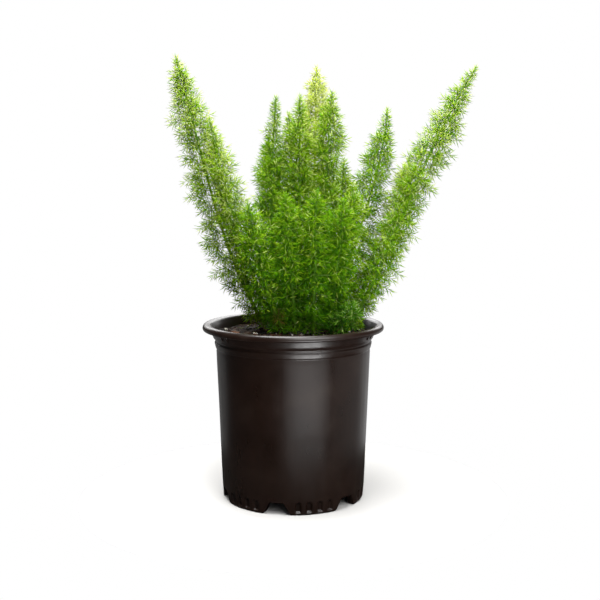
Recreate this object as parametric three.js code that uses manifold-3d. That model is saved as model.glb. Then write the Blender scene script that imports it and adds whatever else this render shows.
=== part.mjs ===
// A foxtail fern (Asparagus densiflorus 'Myersii') in a round black nursery pot.
// Millimetres, +Z up. The model is laid out round the pot's axis, and the finished group is then
// moved so that its origin lies on the ground, under the middle of the plant's bounding box.
// Azimuths of the pot are measured from its front (-Y) towards +X; headings of the plumes are
// measured from +X towards the back (+Y).

import * as THREE from "three";
import { mergeVertices } from "three/addons/utils/BufferGeometryUtils.js";
import Module from "manifold-3d";

const wasm = await Module();
wasm.setup();

// ---------------------------------------------------------------- driving dimensions

const SEAT_GAP = 0.3; // clearance between pieces that touch
const TURN_STEPS = 36; // faces round the pot and the soil

const pot = {
  height: 160,
  wall: 1.9,
  rimRadius: 82.5, // widest point, on the skirt of the rim
  rimTopRadius: 79.8,
  rimMouthRadius: 76.4, // inner edge of the rim
  rimDepth: 6, // height of the skirt
  neckRadius: 74.6, // under the rim
  neckFoot: 147.6, // lower edge of the neck
  neckFlare: 1, // how much the neck widens upwards
  grooveRadius: 70.6, // between the neck and the ridge
  grooveHeight: 145.2,
  ridgeRadius: 71.4, // stacking ridge under the groove
  ridgeHeight: 142.4, // upper edge of the ridge
  ridgeFoot: 137.6,
  shoulderRadius: 69.9, // top of the plain tapering wall
  shoulderHeight: 135.2,
  baseRadius: 65.2, // bottom of the plain tapering wall
  baseHeight: 12,
  footRadius: 64.3,
  footInnerRadius: 57.4,
  floorUnderside: 10,
  floorThickness: 2.4,
};
const feet = {
  count: 6,
  notchAzimuth: -12.9, // of the first notch between two feet
  notchGroundWidth: 26.4,
  notchTopWidth: 11,
  notchRise: 10.5,
  niches: 4, // small arched niches in the face of each foot
  nichePitch: 8.6, // degrees
  nicheWidth: 5.5,
  nicheSill: 2.5,
  nicheTop: 11.8,
  nicheDepth: 2.5,
  archSteps: 3, // straight pieces round each arch
};
const gusset = { count: 3, azimuth: -57, gap: 6, width: 2, reach: 4.4, drop: 5 }; // in pairs
const drain = { radius: 5, circle: 48, sides: 10 };

const soil = { edge: 150.2, crown: 2, relief: 0.9, rings: 4, holeSides: 6, holeReach: 8 };

const stem = {
  rootRadius: 1.9,
  tipRadius: 0.8,
  sides: 5,
  sunk: 14,
  ringPitch: 24,
  crown: 26, // length of the top end that carries whorls of its own
  crownShare: 0.4, // of the length, at most
};
const branchlet = {
  pitch: 8.8, // along the stem
  firstHeight: 13, // of the lowest one above the soil
  rootRadius: 0.75,
  tipRadius: 0.5,
  sides: 3,
  leanAtRoot: 64, // degrees off the stem
  leanAtTip: 40,
  bow: 0.16, // upward bow of the tip, as a share of the length
  shortest: 4.5,
  mostWhorls: 2, // crowded at its end
  lastBelowTip: 8, // of the highest one below the stem's tip
  trials: [1, 0.85, 0.7, 0.55, 0.4], // shares of the full length, tried until it stands clear
};
const needle = {
  length: 9,
  endShare: 0.8, // length of the one at a branchlet's end
  topShare: 0.62, // length of those at the stem's tip
  spread: 0.15, // of the length, each way
  tipPitch: 7.5, // along the top end of a stem
  band: 3, // height of the band that a whorl grows from
  openness: 40, // degrees off the stalk
  jitter: 12, // degrees
};
const NEIGHBOUR_GAP = 1.1; // kept between the needles of two plumes
const OWN_GAP = 1.5; // kept between the needles of two branchlets of one plume

// Each plume: where its stem leaves the soil, the heading it leans to, how far it leans off the
// vertical at the root, halfway and at the tip, its length above the soil, its widest radius, and
// its finish where that isn't the usual green.
const plumes = [
  { name: "plume_outer_left", root: [-25, 16], heading: 178, lean: [31, 15.5, 16], length: 261, girth: 24 },
  { name: "plume_inner_left", root: [-16, -2], heading: 186, lean: [23, 17, 11], length: 199, girth: 20 },
  { name: "plume_front_left", root: [-8, -20], heading: 215, lean: [30, 16, 14], length: 122, girth: 19 },
  { name: "plume_centre_left", root: [-5, 14], heading: 165, lean: [18, 1, -4], length: 211, girth: 20 },
  { name: "plume_centre_tall", root: [6, 4], heading: 90, lean: [3, 2, 2], length: 210, girth: 17 },
  { name: "plume_centre_short", root: [2, 26], heading: 110, lean: [2, 6, 4], length: 199, girth: 17 },
  { name: "plume_centre_right", root: [25, 14], heading: 30, lean: [3, 2.5, 6], length: 216, girth: 19 },
  {
    name: "plume_back_middle", root: [16, 42], heading: 74,
    lean: [6, 5, 4], length: 244, girth: 20, tone: "pale",
  },
  { name: "plume_back_left", root: [-10, 40], heading: 112, lean: [16, 12, 8], length: 184, girth: 20 },
  { name: "plume_back_right", root: [34, 42], heading: 66, lean: [18, 13, 8], length: 162, girth: 18 },
  { name: "plume_right", root: [36, 20], heading: 12, lean: [10, 18, 4], length: 209, girth: 20 },
  { name: "plume_inner_right", root: [36, -2], heading: 350, lean: [7, 10, -3], length: 135, girth: 16 },
  { name: "plume_outer_right", root: [50, 4], heading: 2, lean: [29, 23, 32], length: 263, girth: 23 },
  { name: "plume_low_right", root: [48, 24], heading: 12, lean: [24, 25, 3], length: 170, girth: 19 },
  { name: "plume_front_centre", root: [2, -22], heading: 255, lean: [8, 17, 10], length: 129, girth: 18 },
  { name: "plume_front_middle", root: [18, -26], heading: 275, lean: [6, 13, 8], length: 130, girth: 18 },
  { name: "plume_front_right", root: [33, -18], heading: 300, lean: [6, 12, 8], length: 122, girth: 18 },
  {
    name: "young_shoot", root: [34, -34], heading: 340,
    lean: [42, 34, 26], length: 37, girth: 14, tone: "young",
  },
];
const stub = { root: [-24, 1], heading: 170, lean: 32, radius: 2.6, height: 9, sides: 10 };

// ---------------------------------------------------------------- finishes

const finish = {
  pot: new THREE.MeshStandardMaterial({ color: 0x1d1c1f, roughness: 0.38, metalness: 0 }),
  soil: new THREE.MeshStandardMaterial({ color: 0x2b1f17, roughness: 0.95, metalness: 0 }),
  needles: new THREE.MeshStandardMaterial({ color: 0x5f8a2c, roughness: 0.55, metalness: 0 }),
  pale: new THREE.MeshStandardMaterial({ color: 0xa8bf3f, roughness: 0.55, metalness: 0 }),
  young: new THREE.MeshStandardMaterial({ color: 0x3f6a24, roughness: 0.55, metalness: 0 }),
  stub: new THREE.MeshStandardMaterial({ color: 0xc4ad83, roughness: 0.8, metalness: 0 }),
};
for (const material of Object.values(finish)) material.flatShading = true;

// ---------------------------------------------------------------- small helpers

const radians = THREE.MathUtils.degToRad;
const lerp = THREE.MathUtils.lerp;

/** A repeatable stream of numbers in 0..1 (the mulberry32 generator). */
function randomStream(seed) {
  let state = seed;
  return () => {
    state = (state + 0x6d2b79f5) | 0;
    let mixed = Math.imul(state ^ (state >>> 15), 1 | state);
    mixed = (mixed + Math.imul(mixed ^ (mixed >>> 7), 61 | mixed)) ^ mixed;
    return ((mixed ^ (mixed >>> 14)) >>> 0) / 2 ** 32;
  };
}

/** A closed three.js geometry as a solid that can be joined and cut. */
function solidOf(geometry) {
  const bare = geometry.clone();
  bare.deleteAttribute("normal");
  bare.deleteAttribute("uv");
  const merged = mergeVertices(bare, 1e-4);
  return new wasm.Manifold(
    new wasm.Mesh({
      numProp: 3,
      vertProperties: merged.attributes.position.array,
      triVerts: new Uint32Array(merged.index.array),
    }),
  );
}

/** The named mesh of a finished solid. */
function meshOf(name, solid, material) {
  const { vertProperties, triVerts } = solid.getMesh();
  const geometry = new THREE.BufferGeometry()
    .setAttribute("position", new THREE.BufferAttribute(vertProperties, 3))
    .setIndex(new THREE.BufferAttribute(triVerts, 1));
  geometry.computeVertexNormals();
  const mesh = new THREE.Mesh(geometry, material);
  mesh.name = name;
  return mesh;
}

/** Turns a profile of [radius, height] pairs about the vertical axis. */
function turned(profile) {
  const points = profile.map(([radius, height]) => new THREE.Vector2(radius, height));
  return new THREE.LatheGeometry(points, TURN_STEPS).rotateX(Math.PI / 2);
}

/** Extrudes an outline drawn in (tangent, height) outwards from `inner` to `outer` at an azimuth. */
function radialBlock(outline, inner, outer, azimuth) {
  const shape = new THREE.Shape(outline.map(([x, z]) => new THREE.Vector2(x, z)));
  return new THREE.ExtrudeGeometry(shape, { depth: outer - inner, bevelEnabled: false })
    .translate(0, 0, inner)
    .rotateX(Math.PI / 2)
    .rotateZ(radians(azimuth));
}

/** The outline of an arch: straight sides that may lean in, under a half-round or flatter crown. */
function archOutline(groundWidth, topWidth, sill, springing, crown) {
  const head = Array.from({ length: feet.archSteps + 1 }, (_, i) => {
    const angle = (Math.PI * i) / feet.archSteps;
    return [(topWidth / 2) * Math.cos(angle), springing + (crown - springing) * Math.sin(angle)];
  });
  return [[-groundWidth / 2, sill], [groundWidth / 2, sill], ...head];
}

/** The radius of a [radius, height] profile at a height. */
function radiusAt(profile, height) {
  const above = profile.findIndex(([, z]) => z >= height);
  const [r0, z0] = profile[above - 1];
  const [r1, z1] = profile[above];
  return lerp(r0, r1, (height - z0) / (z1 - z0));
}

// ---------------------------------------------------------------- pot

const floorTop = pot.floorUnderside + pot.floorThickness;

/** Inner face of the pot from the floor to the mouth, as [radius, height]. */
const innerWall = [
  [pot.baseRadius - pot.wall, floorTop],
  [pot.shoulderRadius - pot.wall, pot.ridgeHeight],
  [pot.neckRadius - pot.neckFlare - pot.wall, pot.neckFoot + 1],
  [pot.neckRadius - pot.wall, pot.height - pot.rimDepth],
  [pot.rimMouthRadius, pot.height - 0.6],
];

/** Outer face of the pot from the ground to the top of the rim, as [radius, height]. */
const outerWall = [
  [pot.footRadius - 1.2, 0],
  [pot.footRadius, 1],
  [pot.baseRadius, pot.baseHeight],
  [pot.shoulderRadius, pot.shoulderHeight],
  [pot.ridgeRadius, pot.ridgeFoot],
  [pot.ridgeRadius, pot.ridgeHeight],
  [pot.grooveRadius, pot.grooveHeight],
  [pot.neckRadius - pot.neckFlare, pot.neckFoot],
  [pot.neckRadius, pot.height - pot.rimDepth],
  [pot.rimRadius - 1, pot.height - pot.rimDepth],
  [pot.rimRadius, pot.height - pot.rimDepth + 2],
  [pot.rimRadius - 0.8, pot.height - 1.6],
  [pot.rimTopRadius, pot.height],
];

/** The tapering pot with its rolled rim, floor, notched feet and drain holes. */
function makePot() {
  const section = [
    [0, pot.floorUnderside],
    [pot.footInnerRadius, pot.floorUnderside],
    [pot.footInnerRadius, 0],
    ...outerWall,
    ...innerWall.toReversed(),
    [0, floorTop],
  ];
  const cuts = [];
  const ribs = [];
  const { notchGroundWidth, notchTopWidth, notchRise } = feet;
  const notch = archOutline(notchGroundWidth, notchTopWidth, -1, notchRise - 3, notchRise);
  const springing = feet.nicheTop - feet.nicheWidth / 2;
  const niche = archOutline(feet.nicheWidth, feet.nicheWidth, feet.nicheSill, springing, feet.nicheTop);
  const footPitch = 360 / feet.count;
  const rimUnderside = pot.height - pot.rimDepth;
  for (let foot = 0; foot < feet.count; foot++) {
    const notchAzimuth = feet.notchAzimuth + foot * footPitch;
    cuts.push(radialBlock(notch, pot.footInnerRadius - 1, pot.footRadius + 5, notchAzimuth));
    const hole = new THREE.CylinderGeometry(drain.radius, drain.radius, 3 * pot.floorThickness, drain.sides)
      .rotateX(Math.PI / 2)
      .translate(0, -drain.circle, pot.floorUnderside + pot.floorThickness / 2)
      .rotateZ(radians(notchAzimuth));
    cuts.push(hole);
    for (let i = 0; i < feet.niches; i++) {
      const offset = (i - (feet.niches - 1) / 2) * feet.nichePitch;
      const azimuth = notchAzimuth + footPitch / 2 + offset;
      cuts.push(radialBlock(niche, pot.footRadius - feet.nicheDepth, pot.footRadius + 5, azimuth));
    }
  }
  for (let pair = 0; pair < gusset.count; pair++) {
    const azimuth = gusset.azimuth + (pair * 360) / gusset.count;
    ribs.push(makeGusset(azimuth, rimUnderside), makeGusset(azimuth + gusset.gap, rimUnderside));
  }
  const body = solidOf(turned(section)).add(wasm.Manifold.union(ribs));
  return body.subtract(wasm.Manifold.union(cuts.map(solidOf)));
}

/** One small triangular rib that carries the overhang of the rim on the neck. */
function makeGusset(azimuth, underside) {
  const inner = pot.neckRadius - pot.neckFlare - 1;
  const side = new THREE.Shape([
    new THREE.Vector2(inner, underside + 1),
    new THREE.Vector2(inner, underside - gusset.drop),
    new THREE.Vector2(inner + 1.9, underside - gusset.drop),
    new THREE.Vector2(inner + gusset.reach, underside),
    new THREE.Vector2(inner + gusset.reach, underside + 1),
  ]);
  const rib = new THREE.ExtrudeGeometry(side, { depth: gusset.width, bevelEnabled: false })
    .translate(0, 0, -gusset.width / 2)
    .rotateX(Math.PI / 2)
    .rotateZ(radians(azimuth - 90));
  return solidOf(rib);
}

// ---------------------------------------------------------------- plume axes

/** Height of the soil's surface: a low mound with gentle relief that dies out at the wall. */
function soilHeight(x, y) {
  const edgeRadius = radiusAt(innerWall, soil.edge) - SEAT_GAP;
  const share = Math.min(1, Math.hypot(x, y) / edgeRadius);
  const fade = 1 - share ** 4;
  const waves = Math.sin(0.19 * x + 0.6) * Math.cos(0.16 * y) + 0.7 * Math.sin(0.31 * x - 0.27 * y);
  return soil.edge + (soil.crown * (1 - share ** 2) + soil.relief * waves) * fade;
}

/** The lean off the vertical, in degrees, at a share of the length: a parabola through three leans. */
function leanAt([root, middle, tip], share) {
  const bend = 2 * (root + tip - 2 * middle);
  return root + (tip - root - bend) * share + bend * share ** 2;
}

/** A unit vector at a lean off the vertical, towards a heading. */
function direction(heading, lean) {
  const [turn, tilt] = [radians(heading), radians(lean)];
  return new THREE.Vector3(
    Math.sin(tilt) * Math.cos(turn),
    Math.sin(tilt) * Math.sin(turn),
    Math.cos(tilt),
  );
}

/** The centre line of a plume's stem, from its sunk end to its tip. */
function stemCurve({ root, heading, lean, length }) {
  const steps = Math.max(6, Math.round(length / 6));
  const step = length / steps;
  const point = new THREE.Vector3(root[0], root[1], soilHeight(...root));
  const first = direction(heading, lean[0]);
  const points = [point.clone().addScaledVector(first, -stem.sunk), point.clone()];
  for (let i = 0; i < steps; i++) {
    point.addScaledVector(direction(heading, leanAt(lean, (i + 0.5) / steps)), step);
    points.push(point.clone());
  }
  return new THREE.CatmullRomCurve3(points, false, "centripetal");
}

for (const plume of plumes) {
  plume.curve = stemCurve(plume);
  plume.reach = plume.curve.getLength();
  plume.track = plume.curve.getSpacedPoints(Math.round(plume.reach / 3));
}

/** Distance from a point to the nearest sample of a plume's centre line. */
function distanceTo(plume, point) {
  return Math.sqrt(Math.min(...plume.track.map((sample) => sample.distanceToSquared(point))));
}

/** Whether points of one plume stay over the soil and nearer to their own stem than to any other. */
function staysClear(plume, points) {
  return points.every((point) => {
    if (point.z < soilHeight(point.x, point.y) + NEIGHBOUR_GAP) return false;
    const own = distanceTo(plume, point) + NEIGHBOUR_GAP;
    return plumes.every((other) => other === plume || distanceTo(other, point) > own);
  });
}

// ---------------------------------------------------------------- stalks and needles

/** Rings of a stalk along its centre line, turned by half a face above each band with a whorl. */
function stalkRings(stations, sides) {
  const across = new THREE.Vector3();
  let twist = 0;
  return stations.map(({ centre, along, radius, whorl }, i) => {
    if (i === 0) across.set(1, 0, 0).addScaledVector(along, -along.x);
    across.addScaledVector(along, -across.dot(along)).normalize();
    const beside = along.clone().cross(across);
    const ring = Array.from({ length: sides }, (_, k) => {
      const angle = twist + (2 * Math.PI * k) / sides;
      return centre
        .clone()
        .addScaledVector(across, radius * Math.cos(angle))
        .addScaledVector(beside, radius * Math.sin(angle));
    });
    if (whorl) twist += Math.PI / sides;
    return ring;
  });
}

/**
 * A tapering stalk that ends in a point. Where a station has `whorl`, the band above it grows a
 * whorl of needles: the upright triangle of each face is raised to a spike.
 */
function needledStalk(stations, sides, tip, random) {
  const rings = stalkRings(stations, sides);
  const triangles = [];
  const probes = []; // places by which the stalk's clearance is judged
  for (let k = 1; k < sides - 1; k++) triangles.push([rings[0][0], rings[0][k + 1], rings[0][k]]);
  stations.slice(0, -1).forEach(({ centre, along, whorl }, i) => {
    for (let k = 0; k < sides; k++) {
      const next = (k + 1) % sides;
      const foot = [rings[i][k], rings[i][next], rings[i + 1][k]];
      triangles.push([rings[i][next], rings[i + 1][next], rings[i + 1][k]]);
      if (whorl) {
        const apex = needleTip(foot, centre, along, whorl, random);
        foot.forEach((corner, j) => triangles.push([corner, foot[(j + 1) % 3], apex]));
        probes.push(apex, apex.clone().lerp(foot[0], 0.33), apex.clone().lerp(foot[0], 0.67));
      } else {
        triangles.push(foot);
      }
    }
  });
  const last = rings.at(-1);
  last.forEach((corner, k) => triangles.push([corner, last[(k + 1) % sides], tip]));
  probes.push(tip, tip.clone().lerp(last[0], 0.5), stations.at(-1).centre, stations[1].centre);
  return { points: triangles.flat(), probes };
}

/** Where the needle that stands on a foot triangle ends. */
function needleTip(foot, centre, along, length, random) {
  const middle = new THREE.Vector3().add(foot[0]).add(foot[1]).add(foot[2]).divideScalar(3);
  const outward = middle.clone().sub(centre);
  outward.addScaledVector(along, -outward.dot(along)).normalize();
  const turn = radians(needle.jitter * (2 * random() - 1));
  const open = radians(needle.openness + needle.jitter * (2 * random() - 1));
  const size = length * (1 + needle.spread * (2 * random() - 1));
  outward.applyAxisAngle(along, turn).multiplyScalar(Math.sin(open));
  return middle.addScaledVector(outward.addScaledVector(along, Math.cos(open)), size);
}

/** The solid of a closed triangle soup of points. */
function solidOfPoints(points) {
  return solidOf(new THREE.BufferGeometry().setFromPoints(points));
}

/** Radius of the plume's outline at a share of its length: widest low down, rounded at the tip. */
function outlineRadius(girth, share) {
  const foot = lerp(0.55, 1, Math.min(1, share / 0.12));
  return girth * foot * (1 - 0.42 * share) * (1 - share ** 7) ** 0.75;
}

/** One branchlet that grows from a place on the stem and fills the outline there. */
function makeBranchlet(plume, at, azimuth, scale, random) {
  const share = (at - stem.sunk) / (plume.reach - stem.sunk);
  const centre = plume.curve.getPointAt(at / plume.reach);
  const along = plume.curve.getTangentAt(at / plume.reach);
  const across = new THREE.Vector3(1, 0, 0).addScaledVector(along, -along.x).normalize();
  const outward = across.applyAxisAngle(along, radians(azimuth));
  const lean = radians(lerp(branchlet.leanAtRoot, branchlet.leanAtTip, share));
  const needleReach = needle.endShare * needle.length * Math.sin(radians(needle.openness));
  const size = (scale * (outlineRadius(plume.girth, share) - needleReach)) / Math.sin(lean);
  if (size < branchlet.shortest) return null;
  const start = outward.clone().multiplyScalar(Math.sin(lean)).addScaledVector(along, Math.cos(lean));
  const placeAt = (distance) => {
    const part = distance / size;
    const lift = branchlet.bow * size * part ** 2;
    return {
      centre: centre.clone().addScaledVector(start, distance).addScaledVector(along, lift),
      along: start.clone().addScaledVector(along, 2 * branchlet.bow * part).normalize(),
      radius: lerp(branchlet.rootRadius, branchlet.tipRadius, part),
    };
  };
  const room = Math.floor((size - stem.rootRadius - branchlet.rootRadius) / needle.band);
  const whorls = Math.max(1, Math.min(branchlet.mostWhorls, room));
  const stations = [placeAt(0)];
  for (let i = whorls; i > 0; i--) {
    stations.push({ ...placeAt(size - i * needle.band), whorl: needle.length });
  }
  stations.push(placeAt(size));
  const end = stations.at(-1);
  const tip = end.centre.clone().addScaledVector(end.along, needle.endShare * needle.length);
  return needledStalk(stations, branchlet.sides, tip, random);
}

/** The stem, with whorls of needles crowded on its thin top end. */
function makeStem(plume, random) {
  const placeAt = (distance) => ({
    centre: plume.curve.getPointAt(distance / plume.reach),
    along: plume.curve.getTangentAt(distance / plume.reach),
    radius: lerp(stem.rootRadius, stem.tipRadius, distance / plume.reach),
  });
  const crown = Math.min(stem.crown, plume.reach * stem.crownShare);
  const bare = plume.reach - crown;
  const steps = Math.ceil(bare / stem.ringPitch);
  const stations = Array.from({ length: steps }, (_, i) => placeAt((bare * i) / steps));
  const whorls = Math.round(crown / needle.tipPitch);
  for (let i = 0; i < whorls; i++) {
    const base = bare + (crown * i) / whorls;
    const length = needle.length * lerp(1, needle.topShare, i / whorls);
    stations.push({ ...placeAt(base), whorl: length }, placeAt(base + needle.band));
  }
  return needledStalk(stations, stem.sides, plume.curve.getPointAt(1), random);
}

/** Whether points keep their distance from those of the branchlets that stand already. */
function standsFree(points, placed) {
  return points.every((point) => placed.every((other) => point.distanceTo(other) > OWN_GAP));
}

/** One plume: its stem joined with its spiral of needled branchlets, two faces of the stem apart. */
function makePlume(plume, index) {
  const random = randomStream(index + 1);
  const trunk = makeStem(plume, random);
  const pieces = [solidOfPoints(trunk.points)];
  const placed = [...trunk.probes];
  const faceAngle = 360 / stem.sides;
  let azimuth = faceAngle * (0.5 + (index % stem.sides));
  const lowest = stem.sunk + branchlet.firstHeight;
  for (let at = lowest; at < plume.reach - branchlet.lastBelowTip; at += branchlet.pitch) {
    azimuth += 2 * faceAngle;
    for (const scale of branchlet.trials) {
      const made = makeBranchlet(plume, at, azimuth, scale, random);
      if (made && standsFree(made.probes, placed) && staysClear(plume, made.probes)) {
        pieces.push(solidOfPoints(made.points));
        placed.push(...made.probes);
        break;
      }
    }
  }
  return wasm.Manifold.union(pieces);
}

// ---------------------------------------------------------------- soil and stub

/** A straight post whose foot is at a point, used for the stub and for the holes round stems. */
function post(foot, along, radius, length, sides) {
  const turn = new THREE.Quaternion().setFromUnitVectors(new THREE.Vector3(0, 1, 0), along);
  return new THREE.CylinderGeometry(radius, radius, length, sides)
    .translate(0, length / 2, 0)
    .applyQuaternion(turn)
    .translate(foot.x, foot.y, foot.z);
}

/** The bed of potting mix, with a plain hole for each stem. */
function makeSoil() {
  const gap = (radius) => radius - SEAT_GAP;
  const edgeRadius = gap(radiusAt(innerWall, soil.edge));
  const side = innerWall.filter(([, z]) => z < soil.edge).map(([r, z]) => [gap(r), z]);
  side[0][1] += SEAT_GAP;
  const top = Array.from({ length: soil.rings + 1 }, (_, i) => {
    return [edgeRadius * (1 - i / soil.rings), soil.edge];
  });
  const bed = turned([[0, floorTop + SEAT_GAP], ...side, ...top]);
  const place = bed.attributes.position;
  for (let i = 0; i < place.count; i++) {
    if (place.getZ(i) > soil.edge - 1e-3) place.setZ(i, soilHeight(place.getX(i), place.getY(i)));
  }
  const hole = (foot, along, radius) => {
    const clear = (radius + SEAT_GAP) / Math.cos(Math.PI / soil.holeSides);
    const start = foot.clone().addScaledVector(along, -SEAT_GAP);
    return solidOf(post(start, along, clear, stem.sunk + soil.holeReach, soil.holeSides));
  };
  const holes = plumes.map(({ track, heading, lean }) => {
    return hole(track[0], direction(heading, lean[0]), stem.rootRadius);
  });
  holes.push(hole(stubFoot(), direction(stub.heading, stub.lean), stub.radius));
  return solidOf(bed).subtract(wasm.Manifold.union(holes));
}

/** The sunk end of the stub. */
function stubFoot() {
  const [x, y] = stub.root;
  return new THREE.Vector3(x, y, soilHeight(x, y)).addScaledVector(
    direction(stub.heading, stub.lean),
    -stem.sunk,
  );
}

/** The stump of an old stem that was cut off near the soil. */
function makeStub() {
  const along = direction(stub.heading, stub.lean);
  return solidOf(post(stubFoot(), along, stub.radius, stem.sunk + stub.height, stub.sides));
}

// ---------------------------------------------------------------- assembly

const fern = new THREE.Group();
fern.add(meshOf("pot", makePot(), finish.pot));
fern.add(meshOf("soil", makeSoil(), finish.soil));
fern.add(meshOf("cut_stem", makeStub(), finish.stub));
plumes.forEach((plume, index) => {
  fern.add(meshOf(plume.name, makePlume(plume, index), finish[plume.tone ?? "needles"]));
});

const middle = new THREE.Box3().setFromObject(fern).getCenter(new THREE.Vector3());
fern.position.set(-middle.x, -middle.y, 0);

export default fern;
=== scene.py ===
"""Dresses the CAD frame of a foxtail fern in a round black nursery pot.

Sizes are written in millimetres and laid out round the pot's axis, with the ground at
zero. A skin of points is moved to the frame and turned to metres when it becomes a mesh.
Headings are degrees from +X towards the back (+Y); azimuths of the pot are degrees from
its front (-Y) towards +X.
"""

from __future__ import annotations

import logging
import math
from dataclasses import dataclass, field, fields
from enum import Enum
from typing import ClassVar, Self

import bmesh
import bpy
import numpy as np
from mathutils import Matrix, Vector


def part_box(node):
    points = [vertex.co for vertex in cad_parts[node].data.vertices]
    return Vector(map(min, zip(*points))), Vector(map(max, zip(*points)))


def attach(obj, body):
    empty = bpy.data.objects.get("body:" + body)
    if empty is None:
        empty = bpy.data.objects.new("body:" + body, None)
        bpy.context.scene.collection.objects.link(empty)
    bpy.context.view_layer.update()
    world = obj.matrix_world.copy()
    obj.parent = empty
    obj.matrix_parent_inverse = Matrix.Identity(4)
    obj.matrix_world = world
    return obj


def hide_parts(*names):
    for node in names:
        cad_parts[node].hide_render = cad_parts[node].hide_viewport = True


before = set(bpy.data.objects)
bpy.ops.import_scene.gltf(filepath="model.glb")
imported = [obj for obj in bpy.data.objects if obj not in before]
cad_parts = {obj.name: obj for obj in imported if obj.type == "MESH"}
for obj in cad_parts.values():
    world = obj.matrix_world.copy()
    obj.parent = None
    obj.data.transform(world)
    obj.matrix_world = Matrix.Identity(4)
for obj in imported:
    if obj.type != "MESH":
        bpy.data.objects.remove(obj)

MM = 0.001
PER_METRE = 1000.0  # millimetres
GOLDEN_ANGLE = math.radians(137.508)
BODY = "root"
UP = np.array([0.0, 0.0, 1.0])
TINY = 1e-9
SPREAD = np.array([[-118.5, -86.0], [171.5, 88.5]])  # the foliage's least and greatest x and y
FIRST_SEED = 100  # of the plumes
MAPPED = ("swatch", "along", "turn")  # the values that a piece of foliage is mapped by

Array = np.ndarray
Numbers = float | Array
Pair = tuple[float, float]
Pairs = tuple[Pair, ...]  # such as an outline's corners (radius, height)
Triple = tuple[float, float, float]
Socket = bpy.types.NodeSocket

log = logging.getLogger("foxtail_fern")


class Slot(Enum):
    """The record's material slots."""

    POT = "pot_plastic"
    SOIL = "potting_mix"
    DRY_STEM = "dry_stem"
    GREEN = "foliage"
    PALE = "pale_foliage"
    YOUNG = "young_foliage"


# ------------------------------------------------------------------ small maths


def lerp(start: Numbers, end: Numbers, share: Numbers) -> Numbers:
    """The value at a share of the way from start to end.

    Args:
        start: Value or array at share 0.
        end: Value or array at share 1.
        share: Share of the way.

    Returns:
        The blended value or array.
    """
    return start + (end - start) * share


def ease(share: Array) -> Array:
    """A share from 0 to 1 that starts and ends level: 3 s^2 - 2 s^3, clipped."""
    held = np.clip(share, 0.0, 1.0)
    return held * held * (3.0 - 2.0 * held)


def unit(vectors: Array) -> Array:
    """The vectors (..., 3) divided by their lengths."""
    return vectors / np.linalg.norm(vectors, axis=-1, keepdims=True)


def even_angles(count: int) -> Array:
    """Evenly spaced angles in radians, once round."""
    return np.arange(count) * 2 * math.pi / count


def level_direction(turn: Numbers) -> Array:
    """Level unit vectors (cos a, sin a, 0) at headings in radians."""
    return np.stack([np.cos(turn), np.sin(turn), np.zeros_like(turn)], axis=-1)


def swung(first: Array, second: Array, angle: Numbers) -> Array:
    """Vectors at angles in radians from the first towards the second: first cos a + second sin a.

    Args:
        first: Unit vectors (..., 3).
        second: Unit vectors (..., 3) square to the first.
        angle: Angles (...).

    Returns:
        The unit vectors (..., 3).
    """
    angle = np.asarray(angle)[..., None]
    return first * np.cos(angle) + second * np.sin(angle)


def frames(directions: Array, guide: Array | None = None) -> tuple[Array, Array]:
    """Two unit vectors square to each direction and to each other.

    The first is the guide crossed with the direction, and the second is the direction
    crossed with the first, so the pair turns to the right round the direction.

    Args:
        directions: Unit vectors (..., 3).
        guide: A vector (..., 3) that is never along the direction; the vertical, or +X for
            directions near the vertical, where none is given.

    Returns:
        The two sets of vectors.
    """
    if guide is None:
        near_vertical = np.abs(directions[..., 2:3]) > 0.8
        guide = np.where(near_vertical, [1.0, 0.0, 0.0], UP)
    across = unit(np.cross(guide, directions))
    return across, np.cross(directions, across)


def value_noise(x: Array, y: Array, cell: float, seed: int) -> Array:
    """Smooth noise: random heights at the corners of square cells, eased between them.

    Args:
        x: First coordinates.
        y: Second coordinates.
        cell: Width of a cell, in the coordinates' unit.
        seed: Which set of random heights.

    Returns:
        Values from -1 to 1, in the shape of x.
    """
    span = 64  # cells after which the noise repeats
    table = np.random.default_rng(seed).uniform(-1.0, 1.0, (span, span))
    column, row = np.floor(x / cell).astype(int), np.floor(y / cell).astype(int)
    east, north = ease(x / cell - column), ease(y / cell - row)
    low, high = row % span, (row + 1) % span
    left, right = column % span, (column + 1) % span
    return lerp(
        lerp(table[left, low], table[right, low], east),
        lerp(table[left, high], table[right, high], east),
        north,
    )


def rounded(profile: Array, reach: float, steps: int = 4) -> Array:
    """An open profile with its inner corners rounded.

    Each corner gives way to a quadratic curve, (1-t)^2 A + 2t(1-t) C + t^2 B, from A to B,
    which lie on the two sides at the reach from the corner C, or halfway where a side is short.

    Args:
        profile: Corners (n, 2).
        reach: How far from a corner its curve starts, in millimetres.
        steps: Pieces in each curve.

    Returns:
        The points of the rounded profile (m, 2).
    """
    most = 0.48  # share of a side that a curve may take
    before, corner, after = profile[:-2], profile[1:-1], profile[2:]
    back, ahead = before - corner, after - corner
    back_length = np.linalg.norm(back, axis=1, keepdims=True)
    ahead_length = np.linalg.norm(ahead, axis=1, keepdims=True)
    start = corner + back / back_length * np.minimum(reach, most * back_length)
    end = corner + ahead / ahead_length * np.minimum(reach, most * ahead_length)
    t = np.linspace(0.0, 1.0, steps + 1)[None, :, None]
    curves = (1 - t) ** 2 * start[:, None] + 2 * t * (1 - t) * corner[:, None] + t**2 * end[:, None]
    return np.concatenate([profile[:1], curves.reshape(-1, 2), profile[-1:]])


# ------------------------------------------------------------------ skins and meshes


@dataclass
class Skin:
    """Points, faces and values of a shell, before it becomes a mesh.

    Attributes:
        points: Places (n, 3), in millimetres round the pot's axis.
        faces: Arrays (m, k) of point numbers, each of faces with k corners.
        values: Named values, one to a point.
    """

    points: Array
    faces: list[Array]
    values: dict[str, Array] = field(default_factory=dict)


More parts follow.
